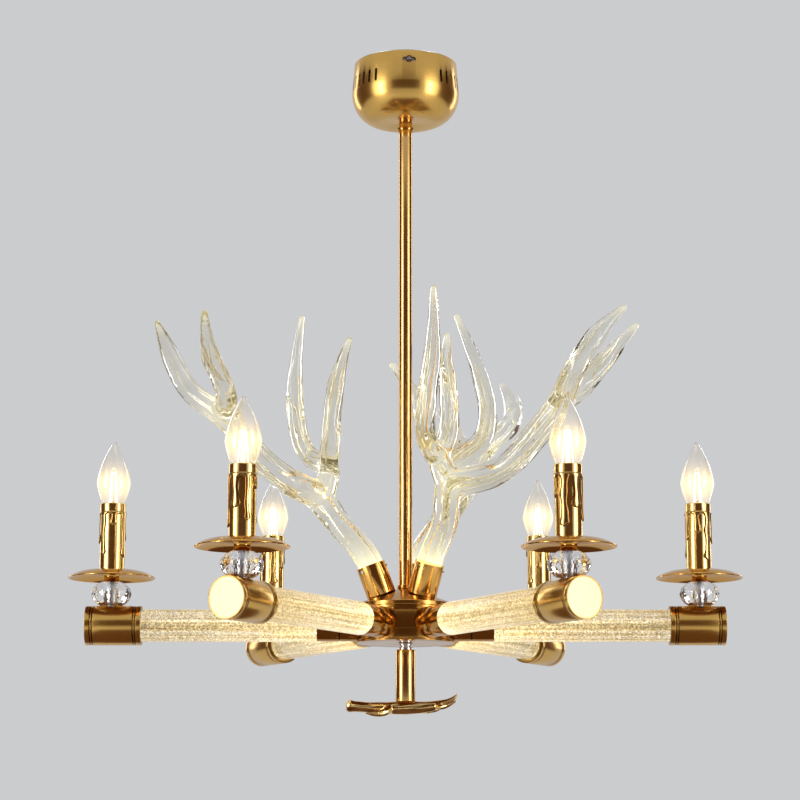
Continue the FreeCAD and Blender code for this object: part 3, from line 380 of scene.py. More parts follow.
def softened(outline, radius=0.4, steps=3, closed=True):
    """The outline with each corner rounded; radius is in millimetres and never over 0.4 of an edge."""
    points = [np.array(point, float) for point in outline]
    count = len(points)
    out = []
    for index, corner in enumerate(points):
        if not closed and index in (0, count - 1):
            out.append(corner)
            continue
        before = points[index - 1] - corner
        after = points[(index + 1) % count] - corner
        reach = [np.linalg.norm(before), np.linalg.norm(after)]
        cosine = before @ after / (reach[0] * reach[1])
        if cosine < -0.97:
            out.append(corner)
            continue
        cut = min(radius, 0.4 * reach[0], 0.4 * reach[1])
        start = corner + before / reach[0] * cut
        end = corner + after / reach[1] * cut
        for step in range(steps + 1):
            t = step / steps
            out.append((1 - t) ** 2 * start + 2 * t * (1 - t) * corner + t * t * end)
    return out


def strip(low, high, count):
    """Faces between two rings of points that start at low and high."""
    return [(low + i, low + (i + 1) % count, high + (i + 1) % count, high + i) for i in range(count)]


def tube(bore, radius, low, high):
    """Outline of a plain tube or washer."""
    return [(bore, low), (radius, low), (radius, high), (bore, high)]


def lathe(name, outline, steps=96, closed=True, sharp=32.0):
    """The mesh that (radius, height) points make about local Z; an open outline ends on the axis."""
    points, rings = [], []
    for radius, height in outline:
        if radius < 1e-6:
            rings.append([len(points)])
            points.append((0.0, 0.0, height))
            continue
        rings.append(list(range(len(points), len(points) + steps)))
        for step in range(steps):
            points.append(polar(radius, 2 * math.pi * step / steps, height))
    faces = []
    pairs = list(zip(rings, rings[1:])) + ([(rings[-1], rings[0])] if closed else [])
    for low, high in pairs:
        if len(low) == len(high):
            faces += strip(low[0], high[0], steps) if len(low) > 1 else []
        elif len(low) == 1:
            faces += [(low[0], high[(step + 1) % steps], high[step]) for step in range(steps)]
        else:
            faces += [(low[step], low[(step + 1) % steps], high[0]) for step in range(steps)]
    return mesh_from(name, points, faces, sharp)


def paint(mesh, name, values):
    """Stores one number per point, which a material reads as an attribute."""
    attribute = mesh.attributes.new(name, "FLOAT", "POINT")
    attribute.data.foreach_set("value", np.asarray(values, np.float32))
    return mesh


def points_of(mesh):
    """The mesh's points in millimetres, as an array."""
    flat = np.zeros(len(mesh.vertices) * 3)
    mesh.vertices.foreach_get("co", flat)
    return flat.reshape(-1, 3) * 1000


def set_points(mesh, points):
    mesh.vertices.foreach_set("co", (points / 1000).astype(np.float32).ravel())
    mesh.update()


def place(name, mesh, where, material, slot, nodes, body="fixture"):
    """Puts a finished mesh into the scene in place of CAD nodes, riding on their body."""
    if not mesh.materials:
        mesh.materials.append(material)
    piece = bpy.data.objects.new(name, mesh)
    scene.collection.objects.link(piece)
    piece.matrix_world = where
    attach(piece, body)
    if nodes:
        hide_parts(*nodes)


def applied(mesh, *modifiers):
    """The mesh with modifiers applied, smooth and without materials; each is (kind, settings)."""
    carrier = bpy.data.objects.new("carrier", mesh)
    scene.collection.objects.link(carrier)
    for kind, settings in modifiers:
        modifier = carrier.modifiers.new(kind, kind)
        for key, value in settings.items():
            setattr(modifier, key, value)
    evaluated = carrier.evaluated_get(bpy.context.evaluated_depsgraph_get())
    result = bpy.data.meshes.new_from_object(evaluated)
    bpy.data.objects.remove(carrier)
    result.shade_smooth()
    result.materials.clear()
    return result


def swing(index, count=ARMS, start=0.0):
    return Matrix.Rotation(math.radians(start + 360 * index / count), 4, "Z")


def arm_frame(index):
    """Local Z runs out along the arm, from the lamp's axis."""
    return swing(index) @ Matrix.Translation(mm(0, 0, ARM_Z)) @ Matrix.Rotation(math.radians(90), 4, "Y")


def candle_frame(index):
    return swing(index) @ Matrix.Translation(mm(CANDLE_RADIUS, 0, 0))


def socket_frame(index):
    foot_z = COVER_RIM_Z + (COVER_RADIUS - SOCKET_FOOT) * math.tan(math.radians(SOCKET_TILT))
    lean = Matrix.Rotation(math.radians(SOCKET_TILT), 4, "Y")
    return swing(index, ANTLERS, SOCKET_AZIMUTH) @ Matrix.Translation(mm(SOCKET_FOOT, 0, foot_z)) @ lean


CENTRE = Matrix.Identity(4)


def turned_piece(name, outline, corner, steps, material, node, slot="brass_satin", rounding=3):
    """A piece turned about the lamp's axis, with its corners rounded."""
    mesh = lathe(name, softened(outline, corner, rounding), steps)
    place(name, mesh, CENTRE, material, slot, [node])


# --- Ceiling group and rod ---


def stadium(width, length, depth, angle, radius, height):
    """A round-ended block that cuts a slot through the cup's wall, upright if length is above 0."""
    half = width / 2
    run = abs(length) / 2 - half
    outline = []
    for step in range(25):
        turn = math.pi * step / 12
        lift = run if step <= 12 else -run
        outline.append((half * math.cos(turn), lift + half * math.sin(turn)))
    points, faces = [], []
    for x in (radius - depth, radius + depth):
        for across, along in outline:
            if length < 0:
                across, along = along, across
            c, s = math.cos(angle), math.sin(angle)
            points.append((x * c - across * s, x * s + across * c, height + along))
    count = len(outline)
    faces = [tuple(range(count)), tuple(reversed(range(count, 2 * count)))]
    faces += [(i, (i + 1) % count, (i + 1) % count + count, i + count) for i in range(count)]
    return points, faces


def merged(parts):
    points, faces = [], []
    for more_points, more_faces in parts:
        base = len(points)
        points += more_points
        faces += [tuple(index + base for index in face) for face in more_faces]
    return points, faces


def cup_outline(inset):
    """Outside or inside of the cup, from its rim to its floor."""
    (rim, rim_z), (belly, belly_z), (floor, floor_z) = CANOPY_RIM, CANOPY_BELLY, CANOPY_FLOOR
    width, height = belly - floor - inset, belly_z - floor_z - inset
    points = [(rim - inset, rim_z), (belly - inset, belly_z)]
    for step in range(1, 25):
        turn = math.pi / 2 * step / 24
        points.append((floor + width * math.cos(turn), belly_z - height * math.sin(turn)))
    return points + [(5.4, floor_z + inset)]


def build_canopy():
    outline = softened(cup_outline(0) + cup_outline(CANOPY_WALL)[::-1], 0.35, 2)
    shell = lathe("canopy_cup", outline, 240)
    cutters = []
    for index in range(3):
        centre = math.radians(CANOPY_TURN + 120 * index)
        cutters.append(stadium(4.6, -14, 5, centre, 55, -11))
        for vent in range(VENTS):
            angle = centre + math.radians(60 + (vent - (VENTS - 1) / 2) * VENT_PITCH)
            cutters.append(stadium(3, 14, 5, angle, 55.5, -25))
    tool = bpy.data.objects.new("slots", mesh_from("slots", *merged(cutters)))
    scene.collection.objects.link(tool)
    cut = ("BOOLEAN", {"object": tool, "operation": "DIFFERENCE", "solver": "EXACT"})
    bevel = {"width": 0.0003, "segments": 2, "limit_method": "ANGLE", "angle_limit": math.radians(50)}
    shell = applied(shell, cut, ("BEVEL", bevel))
    bpy.data.objects.remove(tool)
    shell.set_sharp_from_angle(angle=math.radians(40))
    place("canopy", shell, CENTRE, SPUN_BRASS, "brass_satin", ["canopy_shell"])


def build_rod():
    rod = tube(5, ROD_RADIUS, COVER_TOP_Z, CANOPY_FLOOR[1])
    turned_piece("rod", rod, 0.3, 64, DRAWN_BRASS, "down_rod")
    for name, low in (("rod_ring_upper", UPPER_RING_Z), ("rod_ring_lower", COVER_TOP_Z)):
        ring = tube(ROD_RADIUS, RING_RADIUS, low, low + RING_HEIGHT)
        turned_piece(name, ring, 0.9, 64, HUB_BRASS, "rod_rings", rounding=4)


# --- Hub ---


def build_hub():
    inner, under = COVER_RADIUS - 1.5, COVER_TOP_Z - 1.7
    cone = [
        (5, COVER_TOP_Z), (8, COVER_TOP_Z), (COVER_RADIUS, COVER_RIM_Z), (COVER_RADIUS, DRUM_TOP_Z),
        (inner, DRUM_TOP_Z), (inner, COVER_RIM_Z - 1.2), (8, under), (5, under),
    ]
    turned_piece("hub_cone", cone, 0.6, 128, HUB_BRASS, "hub_cover")
    lower_step, upper_step = DRUM_LOW_Z + 10, DRUM_TOP_Z - 6
    drum = [
        *tube(43, FLANGE_RADIUS, DRUM_LOW_Z, lower_step)[:3], (DRUM_RADIUS, lower_step),
        (DRUM_RADIUS, upper_step), *tube(43, FLANGE_RADIUS, upper_step, DRUM_TOP_Z)[1:],
    ]
    turned_piece("hub_ring", drum, 0.5, 128, HUB_BRASS, "hub_drum")
    plate = tube(3, PLATE_RADIUS, DRUM_LOW_Z - PLATE_THICKNESS, DRUM_LOW_Z)
    turned_piece("hub_plate", plate, 0.7, 128, HUB_BRASS, "hub_base_plate")


def build_sockets():
    bore = SOCKET_RADIUS - 1.5
    outline = [(3, 0), *tube(bore, SOCKET_RADIUS, 0, SOCKET_HEIGHT)[1:], (bore, 2), (3, 2)]
    mesh = lathe("antler_cup", softened(outline, 0.45), 72)
    for i in range(ANTLERS):
        place(f"antler_cup_{i + 1}", mesh, socket_frame(i), SOCKET_BRASS, "brass_satin", ["antler_sockets"])


# --- Organic limbs ---


def spline(stations, steps):
    """Smooth centre line and radii through stations, by a natural cubic over the chord length."""
    values = np.array(stations, float)
    t = np.concatenate([[0.0], np.cumsum(np.linalg.norm(np.diff(values[:, :3], axis=0), axis=1))])
    count = len(t)
    system = np.eye(count)
    right = np.zeros((count, 4))
    for i in range(1, count - 1):
        before, after = t[i] - t[i - 1], t[i + 1] - t[i]
        system[i, i - 1 : i + 2] = before, 2 * (before + after), after
        right[i] = 6 * ((values[i + 1] - values[i]) / after - (values[i] - values[i - 1]) / before)
    bend = np.linalg.solve(system, right)
    where = np.linspace(0, t[-1], steps)
    slot = np.clip(np.searchsorted(t, where, "right") - 1, 0, count - 2)
    h = (t[slot + 1] - t[slot])[:, None]
    a = (t[slot + 1][:, None] - where[:, None]) / h
    b = 1 - a
    curve = a * values[slot] + b * values[slot + 1]
    curve += ((a**3 - a) * bend[slot] + (b**3 - b) * bend[slot + 1]) * h * h / 6
    curve[:, 3] = np.interp(where, t, values[:, 3])
    return curve


def limb_frames(curve):
    """Two cross directions at each point of a centre line, carried along without twist."""
    along = np.gradient(curve[:, :3], axis=0)
    along /= np.linalg.norm(along, axis=1)[:, None]
    side = np.cross(along[0], [0.31, 0.87, 0.39])
    sides = []
    for direction in along:
        side = side - (side @ direction) * direction
        side /= np.linalg.norm(side)
        sides.append(side)
    sides = np.array(sides)
    return along, sides, np.cross(along, sides)


def limb_mesh(curve, around=20):
    """A closed tube along the curve with a rounded tip, as points and faces."""
    along, side, across = limb_frames(curve)
    rings = [(curve[i, :3], curve[i, 3], side[i], across[i]) for i in range(len(curve))]
    for degrees in (30, 58, 80):
        turn = math.radians(degrees)
        centre = curve[-1, :3] + along[-1] * curve[-1, 3] * math.sin(turn)
        rings.append((centre, curve[-1, 3] * math.cos(turn), side[-1], across[-1]))
    points, faces = [], []
    for centre, radius, u, v in rings:
        for step in range(around):
            angle = 2 * math.pi * step / around
            points.append(tuple(centre + radius * (math.cos(angle) * u + math.sin(angle) * v)))
    for ring in range(len(rings) - 1):
        faces += strip(ring * around, (ring + 1) * around, around)
    faces.append(tuple(reversed(range(around))))
    faces.append(tuple(range((len(rings) - 1) * around, len(rings) * around)))
    return points, faces


def relaxed(mesh, weights, rounds):
    """Each point moves towards the mean of its neighbours by its weight, round after round."""
    edges = np.zeros(len(mesh.edges) * 2, int)
    mesh.edges.foreach_get("vertices", edges)
    edges = edges.reshape(-1, 2)
    points = points_of(mesh)
    count = np.bincount(edges.ravel(), minlength=len(points))[:, None]
    for _ in range(rounds):
        total = np.zeros_like(points)
        np.add.at(total, edges[:, 0], points[edges[:, 1]])
        np.add.at(total, edges[:, 1], points[edges[:, 0]])
        points += weights[:, None] * (total / np.maximum(count, 1) - points)
    set_points(mesh, points)


def grooved(mesh, curves, ridges, depth, wander):
    """Lengthwise ridges on every limb, following its centre line, fading towards thin tips."""
    points = points_of(mesh)
    normals = np.zeros(len(points) * 3)
    mesh.vertices.foreach_get("normal", normals)
    normals = normals.reshape(-1, 3)
    total = np.zeros(len(points))
    weight_sum = np.full(len(points), 1e-6)
    for number, curve in enumerate(curves):
        _, side, across = limb_frames(curve)
        gaps = ((points[:, None, :] - curve[None, :, :3]) ** 2).sum(2)
        nearest = gaps.argmin(1)
        distance = np.sqrt(gaps.min(1))
        offset = points - curve[nearest, :3]
        angle = np.arctan2((offset * across[nearest]).sum(1), (offset * side[nearest]).sum(1))
        run = nearest / len(curve) * wander
        wave = np.sin(ridges * angle + 1.7 * np.sin(2.1 * run + number)) * 0.6
        wave += np.sin((ridges - 3) * angle - 2.3 * np.sin(1.3 * run + 2 * number) + number) * 0.5
        wave += 0.35 * np.sin(5.0 * run + 2 * angle + number)
        radius = curve[nearest, 3]
        weight = np.exp(-(((distance / radius) - 1) / 0.22) ** 2)
        total += weight * wave * np.minimum(1, radius / 9)
        weight_sum += weight
    set_points(mesh, points + normals * (depth * total / weight_sum)[:, None])
    return total / weight_sum


def near(points, centre, reach):
    """1 at the centre, falling smoothly over reach millimetres."""
    return np.exp(-((np.linalg.norm(points - np.array(centre), axis=1) / reach) ** 2))


def limbs_remeshed(name, curves, voxel, rounds, soft_spots):
    """One skin round several limbs: remeshed, and relaxed most where they fork."""
    lumps = [limb_mesh(curve) for curve in curves]
    raw = mesh_from(name, *merged(lumps), sharp=0)
    skin = applied(raw, ("REMESH", {"mode": "VOXEL", "voxel_size": voxel / 1000}))
    points = points_of(skin)
    weights = np.full(len(points), 0.30)
    for centre, reach in soft_spots:
        weights = np.maximum(weights, 0.75 * near(points, centre, reach))
    relaxed(skin, weights, rounds)
    return skin


# Forks and tips where the casting gathers light: place, reach and share of the full glow.
LIT_SPOTS = (
    ((17, -24, 88), 20, 0.50), ((-1, -31, 110), 18, 0.42), ((93, 16, 196), 21, 0.46),
    ((129, 31, 300), 13, 0.34), ((-38, -56, 272), 16, 0.40), ((-58, 14, 226), 14, 0.38),
    ((98, 112, 282), 14, 0.40),
)


def antler_mesh():
    roots = ((0.0, 0.0, -11.5, 13.1), (0.0, 0.0, 2.0, 13.0))
    curves = [spline(roots + BEAM, 90), spline(BROW_TINE, 60), spline(BACK_TINE, 40), spline(FORK_TINE, 44)]
    for curve in curves:
        curve[:, 3] += 0.6 * np.clip((13.5 - curve[:, 3]) / 5, 0, 1)
    forks = [((16, -24, 92), 24), ((-1, -30, 112), 20), ((95, 18, 198), 22)]
    skin = limbs_remeshed("antler_skin", curves, 1.9, 9, forks)
    ridges = grooved(skin, curves, 6, 0.38, 7.0)
    points = points_of(skin)
    glow = np.exp(-np.maximum(points[:, 2] - 2, 0) / 17)
    for centre, reach, power in LIT_SPOTS:
        glow = np.maximum(glow, power * near(points, centre, reach))
    glow = glow + 0.035 + 0.03 * np.clip(ridges, -1, 1)
    paint(skin, "glow", np.clip(glow, 0, 1))
    return applied(skin, ("SUBSURF", {"levels": 1, "render_levels": 1}))


def flow_threads():
    """Long thin air lines inside the casting, each a slim closed tube off its limb's centre."""
    rng = np.random.default_rng(7)
    lumps = []
    for stations in (((0.0, 0.0, 4.0, 12.0),) + BEAM, BROW_TINE, BACK_TINE, FORK_TINE):
        curve = spline(stations, 80)
        _, side, across = limb_frames(curve)
        for _ in range(10):
            start = int(rng.integers(2, 40))
            end = int(min(76, start + rng.integers(22, 42)))
            turn, reach = rng.uniform(0, 2 * math.pi), rng.uniform(0.25, 0.68)
            rows = []
            for i in range(start, end, 2):
                share = (i - start) / (end - start)
                swirl = turn + 0.5 * share
                shift = reach * curve[i, 3] * (math.cos(swirl) * side[i] + math.sin(swirl) * across[i])
                width = 0.12 + 0.50 * math.sin(math.pi * min(0.98, share + 0.02))
                rows.append([*(curve[i, :3] + shift), width])
            if len(rows) > 5:
                lumps.append(limb_mesh(np.array(rows), 5))
    return mesh_from("flow_threads", *merged(lumps), sharp=0)


def build_antlers():
    skin, threads = antler_mesh(), flow_threads()
    shader = Shader("flow_thread")
    tone = shader.noise(shader.local(), 90.0)
    shader.look(Base_Color=shader.ramp(tone, (0.3, (0.80, 0.74, 0.52)), (0.7, (1.0, 0.97, 0.85))))
    # The threads' emission is painted light: a faint glow of their own, though they hold no lamp.
    shader.look(Roughness=0.1, Metallic=0.85, Emission_Color=(1.0, 0.90, 0.60, 1.0), Emission_Strength=0.14)
    for index in range(ANTLERS):
        turn = Matrix.Rotation(math.radians(ANTLER_TURNS[index]), 4, "Z")
        where = socket_frame(index) @ Matrix.Translation(mm(0, 0, SOCKET_HEIGHT)) @ turn
        node = f"antler_{index + 1}"
        place(f"clear_antler_{index + 1}", skin, where, ANTLER_CLEAR, "clear_acrylic", [node])
        place(f"antler_threads_{index + 1}", threads, where, shader.material, "clear_acrylic", [])


def build_finial():
    low = DRUM_LOW_Z - PLATE_THICKNESS
    rings = [
        (3, low), (7, low), (7, low - 2.7), (5.4, low - 2.7), (5.4, low - 3.9), (7, low - 3.9),
        (7, STEM_TOP_Z), (3, STEM_TOP_Z),
    ]
    turned_piece("double_ring", rings, 0.5, 72, CHROME, "finial_neck", slot="chrome")
    turned_piece("stem", tube(3, STEM_RADIUS, FINIAL_Z, STEM_TOP_Z), 0.5, 72, DRAWN_BRASS, "finial_stem")
    curves = [spline(FINIAL_BEAM, 70)] + [spline(tine, 30) for tine in FINIAL_TINES]
    forks = [((-16, -3, -4), 7), ((15, 3, -4), 7), ((32, -4, -1), 6)]
    skin = limbs_remeshed("small_antler", curves, 0.75, 5, forks)
    ridges = grooved(skin, curves, 6, 0.32, 7.0)
    paint(skin, "shade", np.clip(0.04 - 0.75 * ridges, 0, 0.8))
    where = Matrix.Translation(mm(0, 0, FINIAL_Z - 3))
    place("small_antler", skin, where, CAST_BRASS, "brass_cast", ["finial_antler"])


# --- Arms ---


def groove(radius, position, width=1.2, depth=0.6):
    """Outline points of a ring groove, met while going towards larger heights."""
    low, high = position - width / 2, position + width / 2
    return [(radius, low), (radius - depth, low), (radius - depth, high), (radius, high)]


def groove_shaded(mesh, radius):
    """Marks the bottoms of the ring grooves for painted shade."""
    points = points_of(mesh)
    depth = radius - np.hypot(points[:, 0], points[:, 1])
    return paint(mesh, "shade", np.where((depth > 0.25) & (depth < 0.8), 1.0, 0.0))


def build_arms():
    bore = COLLAR_RADIUS - 2
    outline = [(bore, COLLAR_START), (COLLAR_RADIUS, COLLAR_START), *groove(COLLAR_RADIUS, 67)]
    outline += [(COLLAR_RADIUS, CRYSTAL_START), (bore, CRYSTAL_START)]
    collar = groove_shaded(lathe("collar", softened(outline, 0.35, 2), 96), COLLAR_RADIUS)
    pair, half_gap = 6.5, 1.1
    insets = (pair - half_gap, pair + half_gap)
    lines = [CRYSTAL_END + inset for inset in insets] + [LAMP_RADIUS - inset for inset in insets[::-1]]
    outline = [(4, CRYSTAL_END), (CAP_RADIUS, CRYSTAL_END)]
    for line in lines:
        outline += groove(CAP_RADIUS, line)
    seat, hollow, seat_z = 18.85, 16.5, LAMP_RADIUS - LENS_THICKNESS
    outline += [(CAP_RADIUS, LAMP_RADIUS), (seat, LAMP_RADIUS), (seat, seat_z), (hollow, seat_z)]
    outline += [(hollow, CRYSTAL_END + 2), (4, CRYSTAL_END + 2)]
    cap = groove_shaded(lathe("cap", softened(outline, 0.3, 2), 96), CAP_RADIUS)
    outline = tube(CRYSTAL_BORE, CRYSTAL_RADIUS, CRYSTAL_START + 0.1, CRYSTAL_END - 0.1)
    rod = lathe("clear_rod", softened(outline, 0.5), 96)
    reach = points_of(rod)[:, 2] - CRYSTAL_START
    paint(rod, "glow", np.where(reach < 90, 1.0, 0.35))
    edge = softened([(LENS_RADIUS, seat_z), (LENS_RADIUS, LAMP_RADIUS)], 0.5)
    disc = lathe("disc", [(0, seat_z), *edge, (0, LAMP_RADIUS)], 96, closed=False)
    pieces = (
        ("collar", collar, HUB_BRASS, "brass_satin", ["arm_collars"]),
        ("clear_rod", rod, ROD_CLEAR, "bubble_acrylic", ["crystal_rods"]),
        ("bubbles", bubble_mesh(), BUBBLES, "bubble_acrylic", []),
        ("cap", cap, SPUN_BRASS, "brass_satin", ["end_caps"]),
        ("disc", disc, OPAL, "opal_acrylic", ["end_lenses"]),
    )
    for index in range(ARMS):
        for name, mesh, material, slot, nodes in pieces:
            place(f"{name}_{index + 1}", mesh, arm_frame(index), material, slot, nodes)


def bubble_mesh():
    """Rows of fine bubbles along the rod, strewn through its wall, as little icosahedra."""
    rng = np.random.default_rng(11)
    golden = (1 + 5**0.5) / 2
    corners = np.array([(0, s, t * golden) for s in (-1, 1) for t in (-1, 1)])
    corners = np.vstack([corners, corners[:, [2, 0, 1]], corners[:, [1, 2, 0]]]) / math.hypot(1, golden)
    gaps = np.linalg.norm(corners[:, None] - corners[None], axis=2)
    edge = gaps[gaps > 0.01].min() * 1.01
    faces = []
    for i in range(12):
        for j in range(i + 1, 12):
            for k in range(j + 1, 12):
                if gaps[i, j] < edge and gaps[j, k] < edge and gaps[i, k] < edge:
                    outward = np.cross(corners[j] - corners[i], corners[k] - corners[i]) @ corners[i] > 0
                    faces.append((i, j, k) if outward else (i, k, j))
    lumps, glow = [], []
    for row in range(BUBBLE_ROWS):
        angle = golden * 2 * math.pi * row
        radius = 15.4 - 7.5 * rng.random() ** 1.6
        along = CRYSTAL_START + rng.uniform(1.2, 5.0)
        while along < CRYSTAL_END - 1.5:
            size = 0.30 + 0.46 * rng.random() ** 1.8
            turn = angle + rng.normal(0, 0.02)
            centre = np.array(polar(radius, turn, along))
            stretch = np.array([1, 1, 1.0 + 0.5 * rng.random()])
            lumps.append(([tuple(centre + size * corner * stretch) for corner in corners], faces))
            inner, outer = along - CRYSTAL_START, CRYSTAL_END - along
            glow += [0.22 + 0.78 * math.exp(-inner / 60) + 0.30 * math.exp(-outer / 22)] * 12
            along += rng.uniform(1.4, 5.0)
    mesh = mesh_from("bubbles", *merged(lumps), sharp=0)
    return paint(mesh, "glow", glow)


# --- Candle sets ---


def bead_mesh():
    """A finely cut bead: rows of staggered facets between two flat ends, with a bore for the tube."""
    sides, levels = 18, 8
    steepest, half = 57, BEAD_HEIGHT / 2
    rows = []
    for level in range(levels + 1):
        turn = math.radians(-steepest + 2 * steepest * level / levels)
        height = half + half * math.sin(turn) / math.sin(math.radians(steepest))
        rows.append((BEAD_RADIUS * math.cos(turn), height))
    points = []
    for row, (radius, height) in enumerate(rows):
        for side in range(sides):
            points.append(polar(radius, 2 * math.pi * (side + row / 2) / sides, height))
    faces = []
    for row in range(len(rows) - 1):
        low, high = row * sides, (row + 1) * sides
        for side in range(sides):
            after = (side + 1) % sides
            faces.append((low + side, low + after, high + side))
            faces.append((high + side, low + after, high + after))
    bore = len(points)
    for height in (0.0, BEAD_HEIGHT):
        points += [polar(5.4, 2 * math.pi * side / sides, height) for side in range(sides)]
    top = (len(rows) - 1) * sides
    for side in range(sides):
        after = (side + 1) % sides
        faces.append((bore + side, bore + after, after, side))
        inner = [bore + sides + (corner + levels // 2) % sides for corner in (after, side)]
        faces.append((top + side, top + after, *inner))
        faces.append((bore + after, bore + side, bore + sides + side, bore + sides + after))
    mesh = mesh_from("bead", points, faces, sharp=0)
    mesh.shade_flat()
    return mesh


def pan_mesh():
    """The saucer: level in the middle, drooping to a thin rolled rim."""
    low = PAN_TOP_Z - PAN_THICKNESS
    top, under = [(5.0, PAN_TOP_Z), (PAN_FLAT, PAN_TOP_Z)], []
    for step in range(17):
        t = step / 16
        radius = 29 + 15.1 * t
        droop = 6.2 * (0.45 * t + 0.55 * t * t)
        top.append((radius, PAN_TOP_Z - droop))
        under.append((radius - 1.1 * t, low - droop * (1 - 0.05 * t)))
    edge = ((44.3, 6.55), (44.35, 7.1), (44.0, 7.5), (43.5, 7.55))
    rim = [(radius, PAN_TOP_Z - drop) for radius, drop in edge]
    return lathe("pan", top + rim + under[::-1] + [(PAN_FLAT, low), (5.0, low)], 128)


def drips():
    """Angle, length and half width of every wax drip."""
    found = []
    for index in range(DRIPS):
        wave = 0.5 + 0.5 * math.sin(2.4 * index)
        found.append((2 * math.pi * index / DRIPS, 14 + 36 * wave, 3.5 + 1.1 * math.cos(2.1 * index + 0.4)))
    return found


def sleeve_mesh():
    """A thin tube under wax: a plain band at the top, an arched hem, and fingers that end in drops."""
    around, rows = 216, 150
    height = SLEEVE_TOP_Z - SLEEVE_Z
    angles = np.linspace(0, 2 * math.pi, around, endpoint=False)
    levels = height * np.linspace(0, 1, rows)
    turn, level = np.meshgrid(angles, levels)
    drop = height - SLEEVE_BAND - level
    hem = 2.6 + 1.5 * np.cos(DRIPS * turn) + 0.4 * np.sin(3 * turn + 0.6)
    coat = 1 / (1 + np.exp((drop - hem) / 0.16))
    bead = np.zeros_like(coat)
    for angle, length, half in drips():
        away = (turn - angle + math.pi) % (2 * math.pi) - math.pi
        across = away * SLEEVE_RADIUS + 0.5 * np.sin(drop / 5 + angle * 3)
        slim = half * (0.66 + 0.50 * np.exp(-drop / 4) + 0.10 * np.sin(drop / 3.1 + 5 * angle))
        tail = np.exp(-(((drop - length + 3.4) / 3.8) ** 2))
        width = slim + half * 0.42 * tail
        past = np.clip((length - drop) / 2.6, 0, 1)
        width = width * np.sqrt(past) + 1e-3
        finger = np.clip(1 - (across / width) ** 2, 0, 1) ** 0.4 * (drop < length)
        coat = np.maximum(coat, finger)
        bead = np.maximum(bead, finger * tail)
    smooth_band = 1 / (1 + np.exp(drop / 0.18))
    rise = 1.10 * coat + 0.45 * bead
    rise = rise * (1 - smooth_band) + 0.4 * smooth_band
    lip = np.exp(-(((drop - 0.2) / 0.6) ** 2)) * 0.45
    surface = SLEEVE_RADIUS - 0.15 + np.maximum(rise, lip)
    surface[-1] -= 0.35
    surface[0] -= 0.2
    slope = np.abs(np.gradient(rise, axis=0)) * 2.6 + np.abs(np.gradient(rise, axis=1)) * 3.4
    shade = np.clip(slope + 0.25 * (1 - coat) * np.exp(-np.clip(drop - hem, 0, None) / 6), 0, 1)
    outer = np.stack([surface * np.cos(turn), surface * np.sin(turn), SLEEVE_Z + level], 2).reshape(-1, 3)
    inside = []
    for z in (SLEEVE_TOP_Z, SLEEVE_Z):
        inside += [polar(SLEEVE_BORE, angle, z) for angle in angles]
    points = [tuple(point) for point in outer] + inside
    faces = []
    rings = rows + 2
    for row in range(rings):
        faces += strip(row * around, (row + 1) % rings * around, around)
    mesh = mesh_from("sleeve", points, faces, sharp=70)
    return paint(mesh, "shade", np.concatenate([shade.ravel(), np.full(2 * around, 0.5)]))


def arc(start, middle, end, steps):
    """Points of the circular arc through three points."""
    a, b, c = (complex(*point) for point in (start, middle, end))
    skew = (c - a) / (b - a)
    centre = a + (b - a) * (skew - abs(skew) ** 2) / (2j * skew.imag)
    first, last = cmath.phase(a - centre), cmath.phase(c - centre)
    last += 2 * math.pi * round((first - last) / (2 * math.pi))
    turns = [first + (last - first) * step / steps for step in range(steps + 1)]
    points = [centre + cmath.rect(abs(a - centre), turn) for turn in turns]
    return [(point.real, point.imag) for point in points]


def bulb_outline(inset):
    """Candle-flame shape from the cap to the tip, the same arcs as the solid's."""
    cap, round_off = BULB_TIP_RADIUS, (0.35, 0.7, 1.05, 1.35)
    widest, tip = BULB_Z + BULB_WIDEST, BULB_Z + BULB_LENGTH - inset - cap
    flare = BULB_NECK_RADIUS + 0.62 * (BULB_RADIUS - BULB_NECK_RADIUS) - inset
    neck, belly = (BULB_NECK_RADIUS - inset, CAP_TOP_Z), (BULB_RADIUS - inset, widest)
    points = arc(neck, (flare, (CAP_TOP_Z + widest) / 2), belly, 22)
    points += arc(belly, (0.72 * BULB_RADIUS - inset, (widest + tip) / 2), (cap, tip), 26)[1:]
    points += [(cap * math.cos(turn), tip + cap * math.sin(turn)) for turn in round_off]
    return points + [(0.0, tip + cap)]


def bulb_mesh():
    shell = lathe("bulb_skin", bulb_outline(0) + bulb_outline(BULB_WALL)[::-1], 72, sharp=0)
    points = points_of(shell)
    height = points[:, 2] - (CAP_TOP_Z + 32)
    glow = np.exp(-((height / np.where(height > 0, 15.0, 17.0)) ** 2))
    return paint(shell, "glow", glow)


def screw_cap_mesh():
    """The cap: contact, insulator and a shell with a rolled thread."""
    outline = [(0, BULB_Z), (2.3, BULB_Z), (2.5, BULB_Z + 0.4), (2.5, BULB_Z + 1.5), (6.2, BULB_Z + 4.5)]
    start, end = BULB_Z + 4.6, CAP_TOP_Z - 3.0
    for step in range(61):
        level = start + (end - BULB_Z - 4.6) * step / 60
        outline.append((6.5 + 0.38 * math.cos(2 * math.pi * (level - BULB_Z) / THREAD_PITCH), level))
    outline += [(6.9, CAP_TOP_Z - 2.6), (6.9, CAP_TOP_Z - 0.2), (6.7, CAP_TOP_Z), (0, CAP_TOP_Z)]
    return lathe("screw_cap", outline, 48, closed=False)


